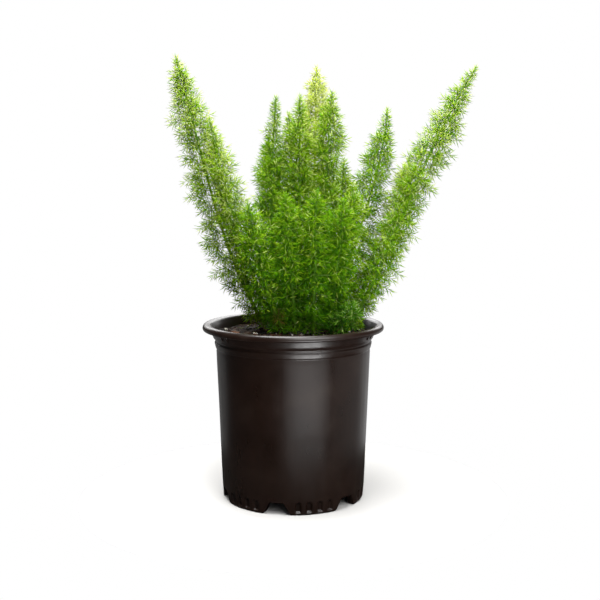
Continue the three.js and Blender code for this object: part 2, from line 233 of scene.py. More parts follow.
def ring_faces(first: int, first_count: int, second: int, second_count: int) -> Array:
    """Faces between two closed rings, where one may have a whole multiple of the other's points.

    Args:
        first: Number of the first ring's first point.
        first_count: Points in the first ring.
        second: Number of the second ring's first point.
        second_count: Points in the second ring.

    Returns:
        Faces (m, k) that take as many points of the fuller ring as it has to each of the other.
    """
    count = min(first_count, second_count)
    step = np.arange(count)[:, None]
    first_step, second_step = first_count // count, second_count // count
    near = (step * first_step + np.arange(first_step + 1)) % first_count
    far = (step * second_step + np.arange(second_step, -1, -1)) % second_count
    return np.concatenate([first + near, second + far], axis=1)


def ring_shell(rings: list[Array], closed: bool = False) -> Skin:
    """A skin through rings of points, each joined to the next.

    Args:
        rings: Arrays (n, 3); a ring of one point is a pole.
        closed: Whether the last ring is joined to the first.

    Returns:
        The skin.
    """
    counts = [len(ring) for ring in rings]
    starts = np.concatenate([[0], np.cumsum(counts)]).astype(int)
    pairs = [(i, i + 1) for i in range(len(rings) - 1)] + [(len(rings) - 1, 0)] * closed
    faces = []
    for low, high in pairs:
        if counts[low] == 1 or counts[high] == 1:
            ring, pole = (high, low) if counts[low] == 1 else (low, high)
            around = np.arange(counts[ring])
            ahead = (around + 1) % counts[ring]
            edge = [around, ahead] if pole == high else [ahead, around]
            apex = np.full(counts[ring], starts[pole])
            faces.append(np.stack([starts[ring] + edge[0], starts[ring] + edge[1], apex], axis=1))
        else:
            faces.append(ring_faces(starts[low], counts[low], starts[high], counts[high]))
    return Skin(np.concatenate(rings), faces)


def tubes(
    centres: Array, directions: Array, radii: Array, sides: int, blunt: bool = False
) -> tuple[Array, Array]:
    """Many tapering tubes at once, closed at both ends.

    A ring's point is centre + radius (cos a across + sin a beside), with a going once round.

    Args:
        centres: Centre lines (tubes, stations, 3).
        directions: Unit directions along them (tubes, stations, 3).
        radii: Radii (tubes, stations).
        sides: Points in each ring.
        blunt: Whether the end caps are flat.

    Returns:
        Points (tubes, stations x sides + 2, 3), the last two being the middles of the two ends,
        and triangles of one tube (m, 3).
    """
    guide = frames(directions[:, :1])[0]
    across, beside = frames(directions, np.broadcast_to(guide, directions.shape))
    circle = swung(across[:, :, None], beside[:, :, None], even_angles(sides))
    rings = centres[:, :, None] + radii[:, :, None, None] * circle
    bulge = 0.0 if blunt else 1.0
    first = centres[:, :1] - directions[:, :1] * radii[:, :1, None] * bulge
    final = centres[:, -1:] + directions[:, -1:] * radii[:, -1:, None] * bulge
    points = np.concatenate([rings.reshape(len(radii), -1, 3), first, final], axis=1)
    stations = radii.shape[1]
    around = np.arange(sides)
    ahead = (around + 1) % sides
    starts = np.arange(stations - 1)[:, None] * sides
    low, low_ahead = (starts + around).ravel(), (starts + ahead).ravel()
    last = (stations - 1) * sides
    first_pole, last_pole = stations * sides, stations * sides + 1
    triangles = np.concatenate(
        [
            np.stack([low, low_ahead, low_ahead + sides], axis=1),
            np.stack([low, low_ahead + sides, low + sides], axis=1),
            np.stack([ahead, around, np.full(sides, first_pole)], axis=1),
            np.stack([last + around, last + ahead, np.full(sides, last_pole)], axis=1),
        ]
    )
    return points, triangles


def by_ring(values: Array, sides: int, ends: Pair) -> Array:
    """A tube's values (1, points), of one for each ring and one for each end."""
    return np.concatenate([np.repeat(values, sides), ends])[None]


def repeated(points: Array, faces: list[Array], **values: Array) -> Skin:
    """The skin of many like shells.

    Args:
        points: Places (shells, n, 3).
        faces: Arrays of one shell's faces, each (m, k).
        **values: Values (shells, n) or (shells, 1).

    Returns:
        One skin that holds them all.
    """
    shells, count = points.shape[:2]
    offsets = np.arange(shells)[:, None, None] * count
    spread = {name: np.broadcast_to(v, (shells, count)).ravel() for name, v in values.items()}
    every = [(block[None] + offsets).reshape(-1, block.shape[1]) for block in faces]
    return Skin(points.reshape(-1, 3), every, spread)


def pot_axis() -> Array:
    """Where the pot's axis meets the ground in the frame, in metres."""
    low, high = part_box("pot")
    return np.array([(low.x + high.x) / 2, (low.y + high.y) / 2, 0.0])


AXIS = pot_axis()


def in_frame(point: Triple) -> Triple:
    """A place given in millimetres from the pot's axis, in the frame's metres."""
    x, y, z = np.array(point) * MM + AXIS
    return (float(x), float(y), float(z))


def mesh_piece(
    name: str,
    skins: list[Skin],
    finish: Finish,
    replaced: tuple[str, ...] = (),
    weld: float = 0.0,
) -> bpy.types.Object:
    """Makes one piece of the visual model and hides the CAD nodes that it stands for.

    Args:
        name: Name of the piece.
        skins: Its skins, in millimetres round the pot's axis.
        finish: What it is made of.
        replaced: The CAD nodes that it stands for.
        weld: Points nearer to each other than this, in millimetres, become one.

    Returns:
        The mesh object, at the origin of the frame.
    """
    counts = [len(skin.points) for skin in skins]
    starts = np.concatenate([[0], np.cumsum(counts)]).astype(int)
    points = np.concatenate([skin.points for skin in skins]) * MM + AXIS
    blocks = [faces + start for start, skin in zip(starts, skins) for faces in skin.faces]
    corners = np.concatenate([faces.ravel() for faces in blocks])
    sizes = np.concatenate([np.full(len(faces), faces.shape[1]) for faces in blocks])

    mesh = bpy.data.meshes.new(name)
    mesh.vertices.add(len(points))
    mesh.vertices.foreach_set("co", points.astype(np.float32).ravel())
    mesh.loops.add(len(corners))
    mesh.loops.foreach_set("vertex_index", corners.astype(np.int32))
    mesh.polygons.add(len(sizes))
    starts_at = np.concatenate([[0], np.cumsum(sizes)[:-1]])
    mesh.polygons.foreach_set("loop_start", starts_at.astype(np.int32))
    mesh.update(calc_edges=True)
    mesh.polygons.foreach_set("use_smooth", np.ones(len(sizes), dtype=bool))
    for key in sorted({key for skin in skins for key in skin.values}):
        held = [skin.values.get(key, np.zeros(n)) for skin, n in zip(skins, counts)]
        value = np.concatenate(held).astype(np.float32)
        mesh.attributes.new(key, "FLOAT", "POINT").data.foreach_set("value", value)
    mesh.materials.append(finish.material())
    if weld:
        joined = bmesh.new()
        joined.from_mesh(mesh)
        bmesh.ops.remove_doubles(joined, verts=joined.verts, dist=weld * MM)
        joined.to_mesh(mesh)
        joined.free()
    mesh.validate()

    piece = bpy.data.objects.new(name, mesh)
    bpy.context.scene.collection.objects.link(piece)
    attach(piece, BODY)
    if replaced:
        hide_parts(*replaced)
    triangles = int((sizes - 2).sum())
    log.info("%s: %d triangles", name, triangles)
    return piece


# ------------------------------------------------------------------ finishes

Colour = tuple[float, float, float, float]  # linear red, green, blue and alpha
Stops = tuple[tuple[float, str], ...]  # of a colour ramp: places from 0 to 1 with hex colours


def linear(code: str) -> Colour:
    """The linear colour, with full alpha, of an sRGB hex value such as "#3a5f1e".

    Each share s becomes s / 12.92 up to 0.04045, and ((s + 0.055) / 1.055)^2.4 above it.

    Args:
        code: The hex value.

    Returns:
        Red, green, blue and alpha from 0 to 1.
    """
    shares = [int(code[i : i + 2], 16) / 255 for i in (1, 3, 5)]
    turned = [s / 12.92 if s <= 0.04045 else ((s + 0.055) / 1.055) ** 2.4 for s in shares]
    return (turned[0], turned[1], turned[2], 1.0)


def add_node(
    tree: bpy.types.NodeTree,
    kind: str,
    inputs: dict[str | int, object] | None = None,
    stops: Stops = (),
    **settings: object,
) -> bpy.types.Node:
    """Adds a node with its settings and links.

    Args:
        tree: The tree that it goes into.
        kind: Blender's name for the kind of node.
        inputs: Values of its inputs, or the sockets that feed them.
        stops: For a colour ramp, its stops.
        **settings: Properties of the node.

    Returns:
        The node.
    """
    node = tree.nodes.new(kind)
    for key, value in settings.items():
        setattr(node, key, value)
    for key, value in (inputs or {}).items():
        if isinstance(value, Socket):
            tree.links.new(value, node.inputs[key])
        else:
            node.inputs[key].default_value = value
    if stops:
        elements = node.color_ramp.elements
        while len(elements) < len(stops):
            elements.new(1.0)
        for element, (place, code) in zip(elements, stops):
            element.position = place
            element.color = linear(code)
    return node


@dataclass(frozen=True)
class NodeKit:
    """The nodes that several finishes share. Each method returns the socket of its result.

    Attributes:
        tree: The tree that the nodes go into.
    """

    tree: bpy.types.NodeTree

    def place(self) -> Socket:
        """The place on the object, in metres."""
        return add_node(self.tree, "ShaderNodeTexCoord").outputs["Object"]

    def value(self, name: str) -> Socket:
        """The value that the mesh holds under a name."""
        return add_node(self.tree, "ShaderNodeAttribute", attribute_name=name).outputs["Fac"]

    def lengthwise(self, place: Socket, width: float, length: float) -> Socket:
        """Places with z times width / length, so that a pattern is drawn out upwards."""
        inputs = {"Vector": place, "Scale": (1.0, 1.0, width / length)}
        return add_node(self.tree, "ShaderNodeMapping", inputs).outputs["Vector"]

    def noise(self, place: Socket, size: float, detail: float) -> Socket:
        """Fractal noise at place / size, with the size of a patch in millimetres."""
        inputs = {"Vector": place, "Scale": PER_METRE / size, "Detail": detail}
        return add_node(self.tree, "ShaderNodeTexNoise", inputs).outputs["Fac"]

    def cells(self, place: Socket, size: float) -> bpy.types.Node:
        """The node of a pattern of cells, with the size of a cell in millimetres."""
        inputs = {"Vector": place, "Scale": PER_METRE / size}
        return add_node(self.tree, "ShaderNodeTexVoronoi", inputs)

    def ramp(self, share: Socket, stops: Stops) -> Socket:
        """The colour at a share of the way along the stops, blended between them."""
        return add_node(self.tree, "ShaderNodeValToRGB", {"Fac": share}, stops).outputs["Color"]

    def blend(self, share: float, first: Socket, second: Socket) -> Socket:
        """The value (1 - share) first + share second."""
        inputs = {"Factor": share, "A": first, "B": second}
        return add_node(self.tree, "ShaderNodeMix", inputs, data_type="FLOAT").outputs["Result"]

    def tint(self, share: float, first: Socket, second: object, kind: str = "MULTIPLY") -> Socket:
        """The colour (1 - share) first + share (first x second), or of a second one for MIX.

        Args:
            share: How far the second colour counts.
            first: The colour that is changed.
            second: The socket or value of the other colour.
            kind: Blender's name for the way that they are combined.

        Returns:
            The socket of the colour.
        """
        first_input, second_input, result = 6, 7, 2  # the node's sockets for colours
        inputs = {first_input: first, second_input: second, "Factor": share}
        node = add_node(self.tree, "ShaderNodeMix", inputs, data_type="RGBA", blend_type=kind)
        return node.outputs[result]

    def relief(
        self,
        height: Socket,
        strength: float,
        depth: float,
        under: Socket | None = None,
    ) -> Socket:
        """A normal that leans with the slope of a pattern.

        Args:
            height: The pattern, from 0 to 1.
            strength: Share of the lean that counts.
            depth: Depth of the pattern, in millimetres.
            under: Normal of a coarser relief that this one lies on.

        Returns:
            The socket of the normal.
        """
        inputs = {"Height": height, "Strength": strength, "Distance": depth * MM}
        if under is not None:
            inputs["Normal"] = under
        return add_node(self.tree, "ShaderNodeBump", inputs).outputs["Normal"]

    def surface(
        self,
        colour: Socket | Colour,
        roughness: Socket | float,
        mirror: float,
        normal: Socket | None = None,
    ) -> Socket:
        """The Principled shader.

        Args:
            colour: Its base colour.
            roughness: Its roughness.
            mirror: Level of its mirror-like reflection, 0.5 being that of plastic.
            normal: The normal of its relief.

        Returns:
            The socket of the shader.
        """
        inputs = {"Base Color": colour, "Roughness": roughness, "Specular IOR Level": mirror}
        if normal is not None:
            inputs["Normal"] = normal
        return add_node(self.tree, "ShaderNodeBsdfPrincipled", inputs).outputs["BSDF"]

    def mix(self, share: Socket | float, first: Socket, second: Socket) -> Socket:
        """The shader (1 - share) first + share second."""
        inputs = {"Fac": share, 1: first, 2: second}
        return add_node(self.tree, "ShaderNodeMixShader", inputs).outputs["Shader"]


@dataclass(frozen=True)
class Finish:
    """A finish: what the real material is, as a Principled shader with its patterns.

    Sizes are in millimetres, and a relief is its strength and its depth.

    Attributes:
        name: Name of the material.
    """

    name: str

    def material(self) -> bpy.types.Material:
        """The material, which is made the first time that it is asked for."""
        found = bpy.data.materials.get(self.name)
        if found:
            return found
        made = bpy.data.materials.new(self.name)
        made.use_nodes = True
        made.node_tree.nodes.clear()
        shader = self.shader(NodeKit(made.node_tree))
        add_node(made.node_tree, "ShaderNodeOutputMaterial", {"Surface": shader})
        return made

    def shader(self, kit: NodeKit) -> Socket:
        """Adds the finish's nodes.

        Args:
            kit: The nodes to build it from, in the material's tree.

        Returns:
            The socket of its shader.
        """
        raise NotImplementedError


@dataclass(frozen=True)
class MouldedPolyethylene(Finish):
    """Polyethylene coloured with carbon black, blow moulded in a satin tool.

    It gives a warm near-black with a soft, slightly wavy sheen, a fine grain, faint smears
    where it was handled, and a film of dust that dulls it. The roughness goes straight from
    its least to its greatest with the sum of smears and streaks.
    """

    name: str = "moulded_black_polyethylene"
    tones: Stops = ((0.30, "#150904"), (0.55, "#1a0d07"), (0.78, "#221710"))
    smear_size: float = 26.0
    streak_width: float = 5.0
    streak_length: float = 90.0
    streak_relief: Pair = (0.15, 0.2)
    grain_size: float = 0.9  # the tool's texture is about 0.3 mm; drawn coarser, so that it shows
    grain_relief: Pair = (0.25, 0.05)
    mirror: float = 0.5
    roughness: Pair = (0.27, 0.38)
    wear: Pair = (0.7, 1.3)  # sums of smears and streaks at the two

    def shader(self, kit: NodeKit) -> Socket:
        """Adds the finish's nodes and returns the socket of its shader."""
        place = kit.place()
        smears = kit.noise(place, self.smear_size, 4.0)
        lengthwise = kit.lengthwise(place, self.streak_width, self.streak_length)
        streaks = kit.noise(lengthwise, self.streak_width, 3.0)
        grain = kit.noise(place, self.grain_size, 2.0)
        worn = add_node(kit.tree, "ShaderNodeMath", {0: smears, 1: streaks}, operation="ADD")
        roughness = add_node(
            kit.tree,
            "ShaderNodeMapRange",
            {
                "Value": worn.outputs["Value"],
                "From Min": self.wear[0],
                "From Max": self.wear[1],
                "To Min": self.roughness[0],
                "To Max": self.roughness[1],
            },
        )
        fine = kit.relief(grain, *self.grain_relief, kit.relief(streaks, *self.streak_relief))
        colour = kit.ramp(smears, self.tones)
        return kit.surface(colour, roughness.outputs["Result"], self.mirror, fine)


@dataclass(frozen=True)
class PottingMix(Finish):
    """Potting mix of peat and composted bark, sifted and damp.

    It gives a matt, broken dark brown with blacker hollows and a few rusty crumbs.
    """

    name: str = "peat_and_bark_mix"
    tones: Stops = ((0.15, "#0d0906"), (0.42, "#1a120a"), (0.62, "#281c10"), (0.80, "#442c18"))
    crumb_size: float = 3.2
    crumb_relief: Pair = (0.8, 0.8)
    patch_size: float = 17.0
    patch_share: float = 0.45
    dust_size: float = 0.9
    dust_relief: Pair = (0.7, 0.3)
    roughness: float = 0.92
    mirror: float = 0.3

    def shader(self, kit: NodeKit) -> Socket:
        """Adds the finish's nodes and returns the socket of its shader."""
        place = kit.place()
        crumbs = kit.cells(place, self.crumb_size)
        each = add_node(kit.tree, "ShaderNodeSeparateColor", {"Color": crumbs.outputs["Color"]})
        patches = kit.noise(place, self.patch_size, 3.0)
        dust = kit.noise(place, self.dust_size, 4.0)
        tone = kit.blend(self.patch_share, each.outputs["Red"], patches)
        lumpy = kit.relief(crumbs.outputs["Distance"], *self.crumb_relief)
        fine = kit.relief(dust, *self.dust_relief, lumpy)
        return kit.surface(kit.ramp(tone, self.tones), self.roughness, self.mirror, fine)


@dataclass(frozen=True)
class PineBark(Finish):
    """Chips of composted pine bark.

    They give matt plates from near-black to a rusty brown, with a layered, corky face.
    """

    name: str = "composted_pine_bark"
    tones: Stops = ((0.1, "#130c08"), (0.45, "#2c1c12"), (0.7, "#4b2f1e"), (0.95, "#6f4a32"))
    layer_size: float = 1.4
    layer_relief: Pair = (0.8, 0.4)
    layer_share: float = 0.3
    roughness: float = 0.86
    mirror: float = 0.35

    def shader(self, kit: NodeKit) -> Socket:
        """Adds the finish's nodes and returns the socket of its shader."""
        layers = kit.noise(kit.place(), self.layer_size, 5.0)
        tone = kit.blend(self.layer_share, kit.value("tone"), layers)
        corky = kit.relief(layers, *self.layer_relief)
        return kit.surface(kit.ramp(tone, self.tones), self.roughness, self.mirror, corky)


@dataclass(frozen=True)
class ExpandedPerlite(Finish):
    """Perlite, volcanic glass puffed by heat and a little soiled.

    It gives chalky off-white grains with tiny pits.
    """

    name: str = "expanded_perlite"
    tones: Stops = ((0.1, "#8f8779"), (0.5, "#c9c3b6"), (0.9, "#e4e0d6"))
    pit_size: float = 0.7
    pit_relief: Pair = (0.6, 0.2)
    roughness: float = 0.88
    mirror: float = 0.5

    def shader(self, kit: NodeKit) -> Socket:
        """Adds the finish's nodes and returns the socket of its shader."""
        pits = kit.cells(kit.place(), self.pit_size).outputs["Distance"]
        pitted = kit.relief(pits, *self.pit_relief)
        return kit.surface(kit.ramp(pits, self.tones), self.roughness, self.mirror, pitted)


@dataclass(frozen=True)
class DryStem(Finish):
    """A dried stem, bleached by the sun and split along its fibres.

    It gives a dull straw colour with darker lengthwise lines and a brown cut; `along` runs
    from 0 in the soil to 1 on the cut.
    """

    name: str = "dried_stem"
    straw: Stops = ((0.3, "#6e5a3c"), (0.5, "#a8906a"), (0.75, "#cdbb96"))
    aged: Stops = ((0.0, "#4a3a26"), (0.45, "#b9a987"), (0.93, "#ffffff"), (1.0, "#a58a66"))
    fibre_width: float = 0.45
    fibre_length: float = 9.0
    fibre_relief: Pair = (0.6, 0.2)
    roughness: float = 0.78
    mirror: float = 0.5

    def shader(self, kit: NodeKit) -> Socket:
        """Adds the finish's nodes and returns the socket of its shader."""
        lengthwise = kit.lengthwise(kit.place(), self.fibre_width, self.fibre_length)
        fibres = kit.noise(lengthwise, self.fibre_width, 3.0)
        aged = kit.ramp(kit.value("along"), self.aged)
        colour = kit.tint(1.0, kit.ramp(fibres, self.straw), aged)
        split = kit.relief(fibres, *self.fibre_relief)
        return kit.surface(colour, self.roughness, self.mirror, split)


@dataclass(frozen=True)
class Cladodes(Finish):
    """Living cladodes, the needle-like twigs that serve this plant as leaves.

    A thin wax skin over soft green tissue gives a low sheen, and light passes through the
    tissue, so that needles against the light glow yellow-green. The swatch of a point picks
    its colour, from deep green needles within the plume to pale ones, then the stalks'
    green and the browns of dry needles; `along` runs from a needle's foot to its tip. The
    deep to pale part is partly painted light: the deeper greens low and inside a plume are
    painted shade, and the paler ones at its top and outside are painted light, over the
    plant's own older and younger needles.
    """

    name: str
    deep: str
    dark: str
    middle: str
    light: str
    pale: str
    glow: str  # colour of the light that passes through

    STALK_FROM: ClassVar[float] = 0.80
    DRY_FROM: ClassVar[float] = 0.90
    DRY_TO: ClassVar[float] = 0.99
    STEM: ClassVar[float] = 0.81
    TWIG: ClassVar[float] = 0.83
    SPUR: ClassVar[float] = 0.95
    DRY_TWIG: ClassVar[float] = 0.96
    SHEATH: ClassVar[float] = 0.97
    LIVING: ClassVar[Pair] = (0.01, 0.77)
    # partly painted light: needles gain paleness upwards and outwards, so those low and inside a
    # plume carry painted shade and those at its top and outside painted light, over the plant's own
    # older and younger needles
    PALENESS: ClassVar[Triple] = (0.15, 0.33, 0.16)  # at the foot, gained upwards, gained outwards
    STRAY: ClassVar[float] = 0.2  # of living needles
    BROWNED: ClassVar[float] = 0.8  # share of the needles on a dry twig
    SWATCHES: ClassVar[int] = 40
    DRIED: ClassVar[str] = "#8a7a3a"
    WITHERED: ClassVar[str] = "#5d4524"
    ALONG: ClassVar[Stops] = (
        (0.0, "#9cb478"),
        (0.35, "#e6eec8"),
        (0.85, "#ffffff"),
        (1.0, "#f0e6c0"),
    )
    ROUGHNESS: ClassVar[float] = 0.45
    MIRROR: ClassVar[float] = 0.16
    THROUGH: ClassVar[float] = 0.52  # share of the light that passes through

    @classmethod
    def dried(cls, share: Array) -> Array:
        """Places on the scale at a share of the way through the browns."""
        return lerp(cls.DRY_FROM, cls.DRY_TO, share)

    def shader(self, kit: NodeKit) -> Socket:
        """Adds the finish's nodes and returns the socket of its shader."""
        colour = kit.ramp(
            kit.value("swatch"),
            (
                (0.0, self.deep),
                (0.2, self.dark),
                (0.4, self.middle),
                (0.6, self.light),
                (0.78, self.pale),
                (self.STALK_FROM, self.dark),
                (self.DRY_FROM - 0.01, self.pale),
                (self.DRY_FROM, self.DRIED),
                (1.0, self.WITHERED),
            ),
        )
        skin = kit.tint(1.0, colour, kit.ramp(kit.value("along"), self.ALONG))
        through = kit.tint(0.5, skin, linear(self.glow), "MIX")
        waxy = kit.surface(skin, self.ROUGHNESS, self.MIRROR)
        lit = add_node(kit.tree, "ShaderNodeBsdfTranslucent", {"Color": through})
        return kit.mix(self.THROUGH, waxy, lit.outputs["BSDF"])


@dataclass(frozen=True)
class PaperSweep(Finish):
    """White background paper, which gives a plain, pale, matt floor.

    It is flagged off from mirror-like reflections, where it shows as a dark grey.
    """

    name: str = "white_background_paper"
    paper: str = "#cccbc9"
    flag: str = "#2c2b2a"
    roughness: float = 0.9
    mirror: float = 0.2

    def shader(self, kit: NodeKit) -> Socket:
        """Adds the finish's nodes and returns the socket of its shader."""
        mirrored = add_node(kit.tree, "ShaderNodeLightPath").outputs["Is Glossy Ray"]
        paper = kit.surface(linear(self.paper), self.roughness, self.mirror)
        flag = add_node(kit.tree, "ShaderNodeBsdfDiffuse", {"Color": linear(self.flag)})
        return kit.mix(mirrored, paper, flag.outputs["BSDF"])


NEEDLES = {
    Slot.GREEN: Cladodes(
        "green_cladodes", "#286c08", "#58a010", "#94cc14", "#c8e438", "#f8fcb0", "#d8f02c"
    ),
    Slot.PALE: Cladodes(
        "pale_cladodes", "#a8c828", "#c8de3c", "#e2f254", "#f2fc84", "#fdfdc0", "#eefc40"
    ),
    Slot.YOUNG: Cladodes(
        "young_cladodes", "#1c4408", "#346c0c", "#589418", "#90c438", "#cce48c", "#88c81c"
    ),
}


# ------------------------------------------------------------------ pot


@dataclass(frozen=True)
class NurseryPot:
    """The tapering pot with its rolled rim, stacking ridge, ribs, notched feet and floor.

    Attributes are sizes in millimetres, azimuths in degrees, and counts of rings and columns.
    """

    height: float = 160.0
    wall: float = 1.9
    rim_underside: float = 154.0
    rim_outline: Pairs = ((81.5, 154.0), (82.5, 156.0), (81.7, 158.4), (79.8, 160.0))
    mouth: Pair = (75.2, 159.1)
    neck_radius: float = 74.6
    neck_foot_radius: float = 72.8
    neck_foot: float = 147.6
    inner_neck_foot: float = 148.6
    groove: Pair = (70.6, 145.2)
    ridge_outline: Pairs = ((69.6, 137.4), (70.5, 138.3), (71.6, 143.0), (70.9, 143.7))
    shoulder_radius: float = 69.9
    shoulder_height: float = 135.2
    inner_shoulder: float = 142.4
    rounding: float = 1.4  # of the corners from the shoulder over the rim to the floor
    base_radius: float = 65.2
    base_height: float = 12.0
    foot_radius: float = 64.3
    foot_inner_radius: float = 58.2
    foot_bevel: Pair = (0.5, 0.6)  # width and height, on the inner side
    foot_lip: Pairs = ((62.7, 0.0), (63.4, 0.12))  # heights above the bottom edge
    foot_lip_height: float = 0.7
    foot_draft: Pair = (1.0, 1.2)  # radius lost at the ground, and height of that
    foot_top: float = 15.0
    foot_rings: int = 25
    floor_underside: float = 10.0
    floor_thickness: float = 2.4
    floor_overlap: float = 0.4  # into the feet
    feet: int = 6
    notch_azimuth: float = -12.9
    notch_ground_width: float = 26.4
    notch_top_width: float = 11.0
    notch_rise: float = 10.5
    niches: int = 4
    niche_pitch: float = 8.6
    niche_width: float = 5.5
    niche_sill: float = 2.2
    niche_top: float = 11.8
    niche_depth: float = 2.3
    niche_slope: float = 0.9  # width of a niche's eased edge
    rib_azimuths: tuple[float, ...] = (-57.0, -51.0, 63.0, 69.0, 183.0, 189.0)
    rib_width: float = 2.0
    rib_outline: Pairs = (
        (71.8, 155.0),
        (71.8, 149.0),
        (73.7, 149.0),
        (75.9, 153.5),
        (76.2, 155.0),
    )
    drain_radius: float = 5.0
    drain_circle: float = 48.0
    waviness: float = 0.14
    calm_foot: float = 20.0  # height over which the waviness grows from nothing
    calm_shoulder: float = 16.0
    wall_from: float = 18.0
    wall_to: float = 132.2
    wall_rings: int = 22
    columns: int = 240
    foot_columns: int = 720
    weld: float = 0.005

    @property
    def floor_top(self) -> float:
        """Height of the floor's upper face."""
        return self.floor_underside + self.floor_thickness

    def inner_profile(self) -> Array:
        """Inner face from the mouth down to the floor, as (radius, height)."""
        return np.array(
            [
                self.mouth,
                [self.neck_radius - self.wall, self.rim_underside],
                [self.neck_foot_radius - self.wall, self.inner_neck_foot],
                [self.shoulder_radius - self.wall, self.inner_shoulder],
                [self.base_radius - self.wall, self.floor_top],
            ]
        )

    def outer_radius(self, height: Array) -> Array:
        """Radius of the plain tapering wall and of the feet's face.

        Args:
            height: Heights above the ground, in millimetres.

        Returns:
            The radius at each, in millimetres.
        """
        lost, rounded_to = self.foot_draft
        heights = [0.0, rounded_to, self.base_height, self.shoulder_height]
        radii = [self.foot_radius - lost, self.foot_radius, self.base_radius, self.shoulder_radius]
        return np.interp(height, heights, radii)

    def ring(self, azimuth: Array, radius: Numbers, height: Numbers) -> Array:
        """Points at azimuths from the front: (r sin a, -r cos a, z).

        Args:
            azimuth: Azimuths (n), in radians.
            radius: The radius of all or of each, in millimetres.
            height: The height of all or of each, in millimetres.

        Returns:
            The points (n, 3).
        """
        wide = np.broadcast_arrays(azimuth, radius, height)
        turn, reach, level = (np.asarray(v, dtype=float) for v in wide)
        return np.stack([reach * np.sin(turn), -reach * np.cos(turn), level], axis=-1)

    def offset_from(self, azimuth: Array, first: float, pitch: float) -> Array:
        """Signed angle in radians from each azimuth to the nearest of a row of even marks.

        The angle is (azimuth - first + pitch / 2) mod pitch - pitch / 2.

        Args:
            azimuth: Azimuths, in radians.
            first: Azimuth of one of the marks, in degrees.
            pitch: Angle from mark to mark, in degrees.

        Returns:
            The angles, from minus half a pitch to half a pitch.
        """
        step = math.radians(pitch)
        return (azimuth - math.radians(first) + step / 2) % step - step / 2

    def notch_edge(self, azimuth: Array) -> Array:
        """Height of the bottom edge: an eased step up to the rise over each notch's sides.

        Args:
            azimuth: Azimuths, in radians.

        Returns:
            The height at each, in millimetres.
        """
        across = np.abs(self.offset_from(azimuth, self.notch_azimuth, 360 / self.feet))
        distance = across * self.foot_radius
        side = (self.notch_ground_width - self.notch_top_width) / 2
        return self.notch_rise * ease((self.notch_ground_width / 2 - distance) / side)

    def niche_share(self, azimuth: Array, height: Array) -> Array:
        """How deep each place lies in a niche, from 0 to 1: an arch with eased edges.

        The arch is a half circle on two upright sides, w / 2 - hypot(across, above) inside it,
        cut off by a level sill.

        Args:
            azimuth: Azimuths, in radians.
            height: Heights above the ground, in millimetres.

        Returns:
            The shares of the niches' depth.
        """
        foot = self.offset_from(azimuth, self.notch_azimuth + 180 / self.feet, 360 / self.feet)
        pitch = math.radians(self.niche_pitch)
        slot = np.clip(np.floor(foot / pitch) + 0.5, 0.5 - self.niches / 2, self.niches / 2 - 0.5)
        across = (foot - slot * pitch) * self.foot_radius
        springing = self.niche_top - self.niche_width / 2
        above = np.maximum(height - springing, 0.0)
        inside = self.niche_width / 2 - np.hypot(across, above)
        over_sill = height - self.niche_sill
        return ease(inside / self.niche_slope) * ease(over_sill / self.niche_slope)

    def wave(self, azimuth: Array, height: float) -> Array:
        """Unevenness of the moulded wall.

        It is the sum of three waves that fit 5, 9 and 13 times round it and wind upwards,
        and dies out at the feet and at the shoulder.

        Args:
            azimuth: Azimuths, in radians.
            height: Height above the ground, in millimetres.

        Returns:
            How far the wall stands out at each, in millimetres.
        """
        swell = (
            0.5 * np.sin(5 * azimuth + 1.4 * math.sin(height / 27) + 0.4)
            + 0.4 * np.sin(9 * azimuth - height / 23 + 2.0)
            + 0.3 * np.sin(13 * azimuth + height / 15)
        )
        from_foot = ease(np.array((height - self.base_height) / self.calm_foot))
        from_shoulder = ease(np.array((self.shoulder_height - height) / self.calm_shoulder))
        return self.waviness * swell * from_foot * from_shoulder

    def foot_shell(self) -> list[Array]:
        """Rings of the feet, from their inner face round the bottom edge and up the outer face."""
        azimuth = even_angles(self.foot_columns)
        edge = self.notch_edge(azimuth)
        inner, under = self.foot_inner_radius, self.floor_underside
        width, rise = self.foot_bevel
        rings = [
            self.ring(azimuth, inner, self.floor_top),
            self.ring(azimuth, inner, np.maximum(edge + rise, under)),
            self.ring(azimuth, inner, np.minimum(edge + rise, under)),
            self.ring(azimuth, inner + width, np.minimum(edge, under)),
        ]
        rings += [self.ring(azimuth, radius, edge + above) for radius, above in self.foot_lip]
        for share in np.linspace(0.0, 1.0, self.foot_rings):
            height = lerp(edge + self.foot_lip_height, self.foot_top, share)
            radius = self.outer_radius(height)
            radius = radius - self.niche_depth * self.niche_share(azimuth, height)
            rings.append(self.ring(azimuth, radius, height))
        return rings

    def wall_shell(self) -> list[Array]:
        """Rings of the outer wall, over the rim and down the inside to the floor."""
        azimuth = even_angles(self.columns)
        rings = []
        for height in np.linspace(self.wall_from, self.wall_to, self.wall_rings):
            radius = self.outer_radius(height) + self.wave(azimuth, height)
            rings.append(self.ring(azimuth, radius, height))
        corners = [
            (self.shoulder_radius, self.shoulder_height),
            *self.ridge_outline,
            self.groove,
            (self.neck_foot_radius, self.neck_foot),
            (self.neck_radius, self.rim_underside),
            *self.rim_outline,
            *self.inner_profile(),
        ]
        profile = rounded(np.array(corners), self.rounding)
        rings += [self.ring(azimuth, radius, height) for radius, height in profile]
        return rings

    def ribs(self) -> Skin:
        """The ribs that carry the rim's overhang: a side outline, given a width."""
        outline = np.array(self.rib_outline)
        count = len(outline)
        turns = np.radians(self.rib_azimuths)
        outward = np.stack([np.sin(turns), -np.cos(turns), np.zeros_like(turns)], axis=-1)
        aside = np.stack([np.cos(turns), np.sin(turns), np.zeros_like(turns)], axis=-1)
        side = outward[:, None] * outline[:, :1] + UP * outline[:, 1:]
        half = aside[:, None] * self.rib_width / 2
        points = np.concatenate([side - half, side + half], axis=1)
        around = np.arange(count)
        ahead = (around + 1) % count
        strips = np.stack([ahead, around, around + count, ahead + count], axis=1)
        caps = np.stack([around, around[::-1] + count])
        return repeated(points, [strips, caps])

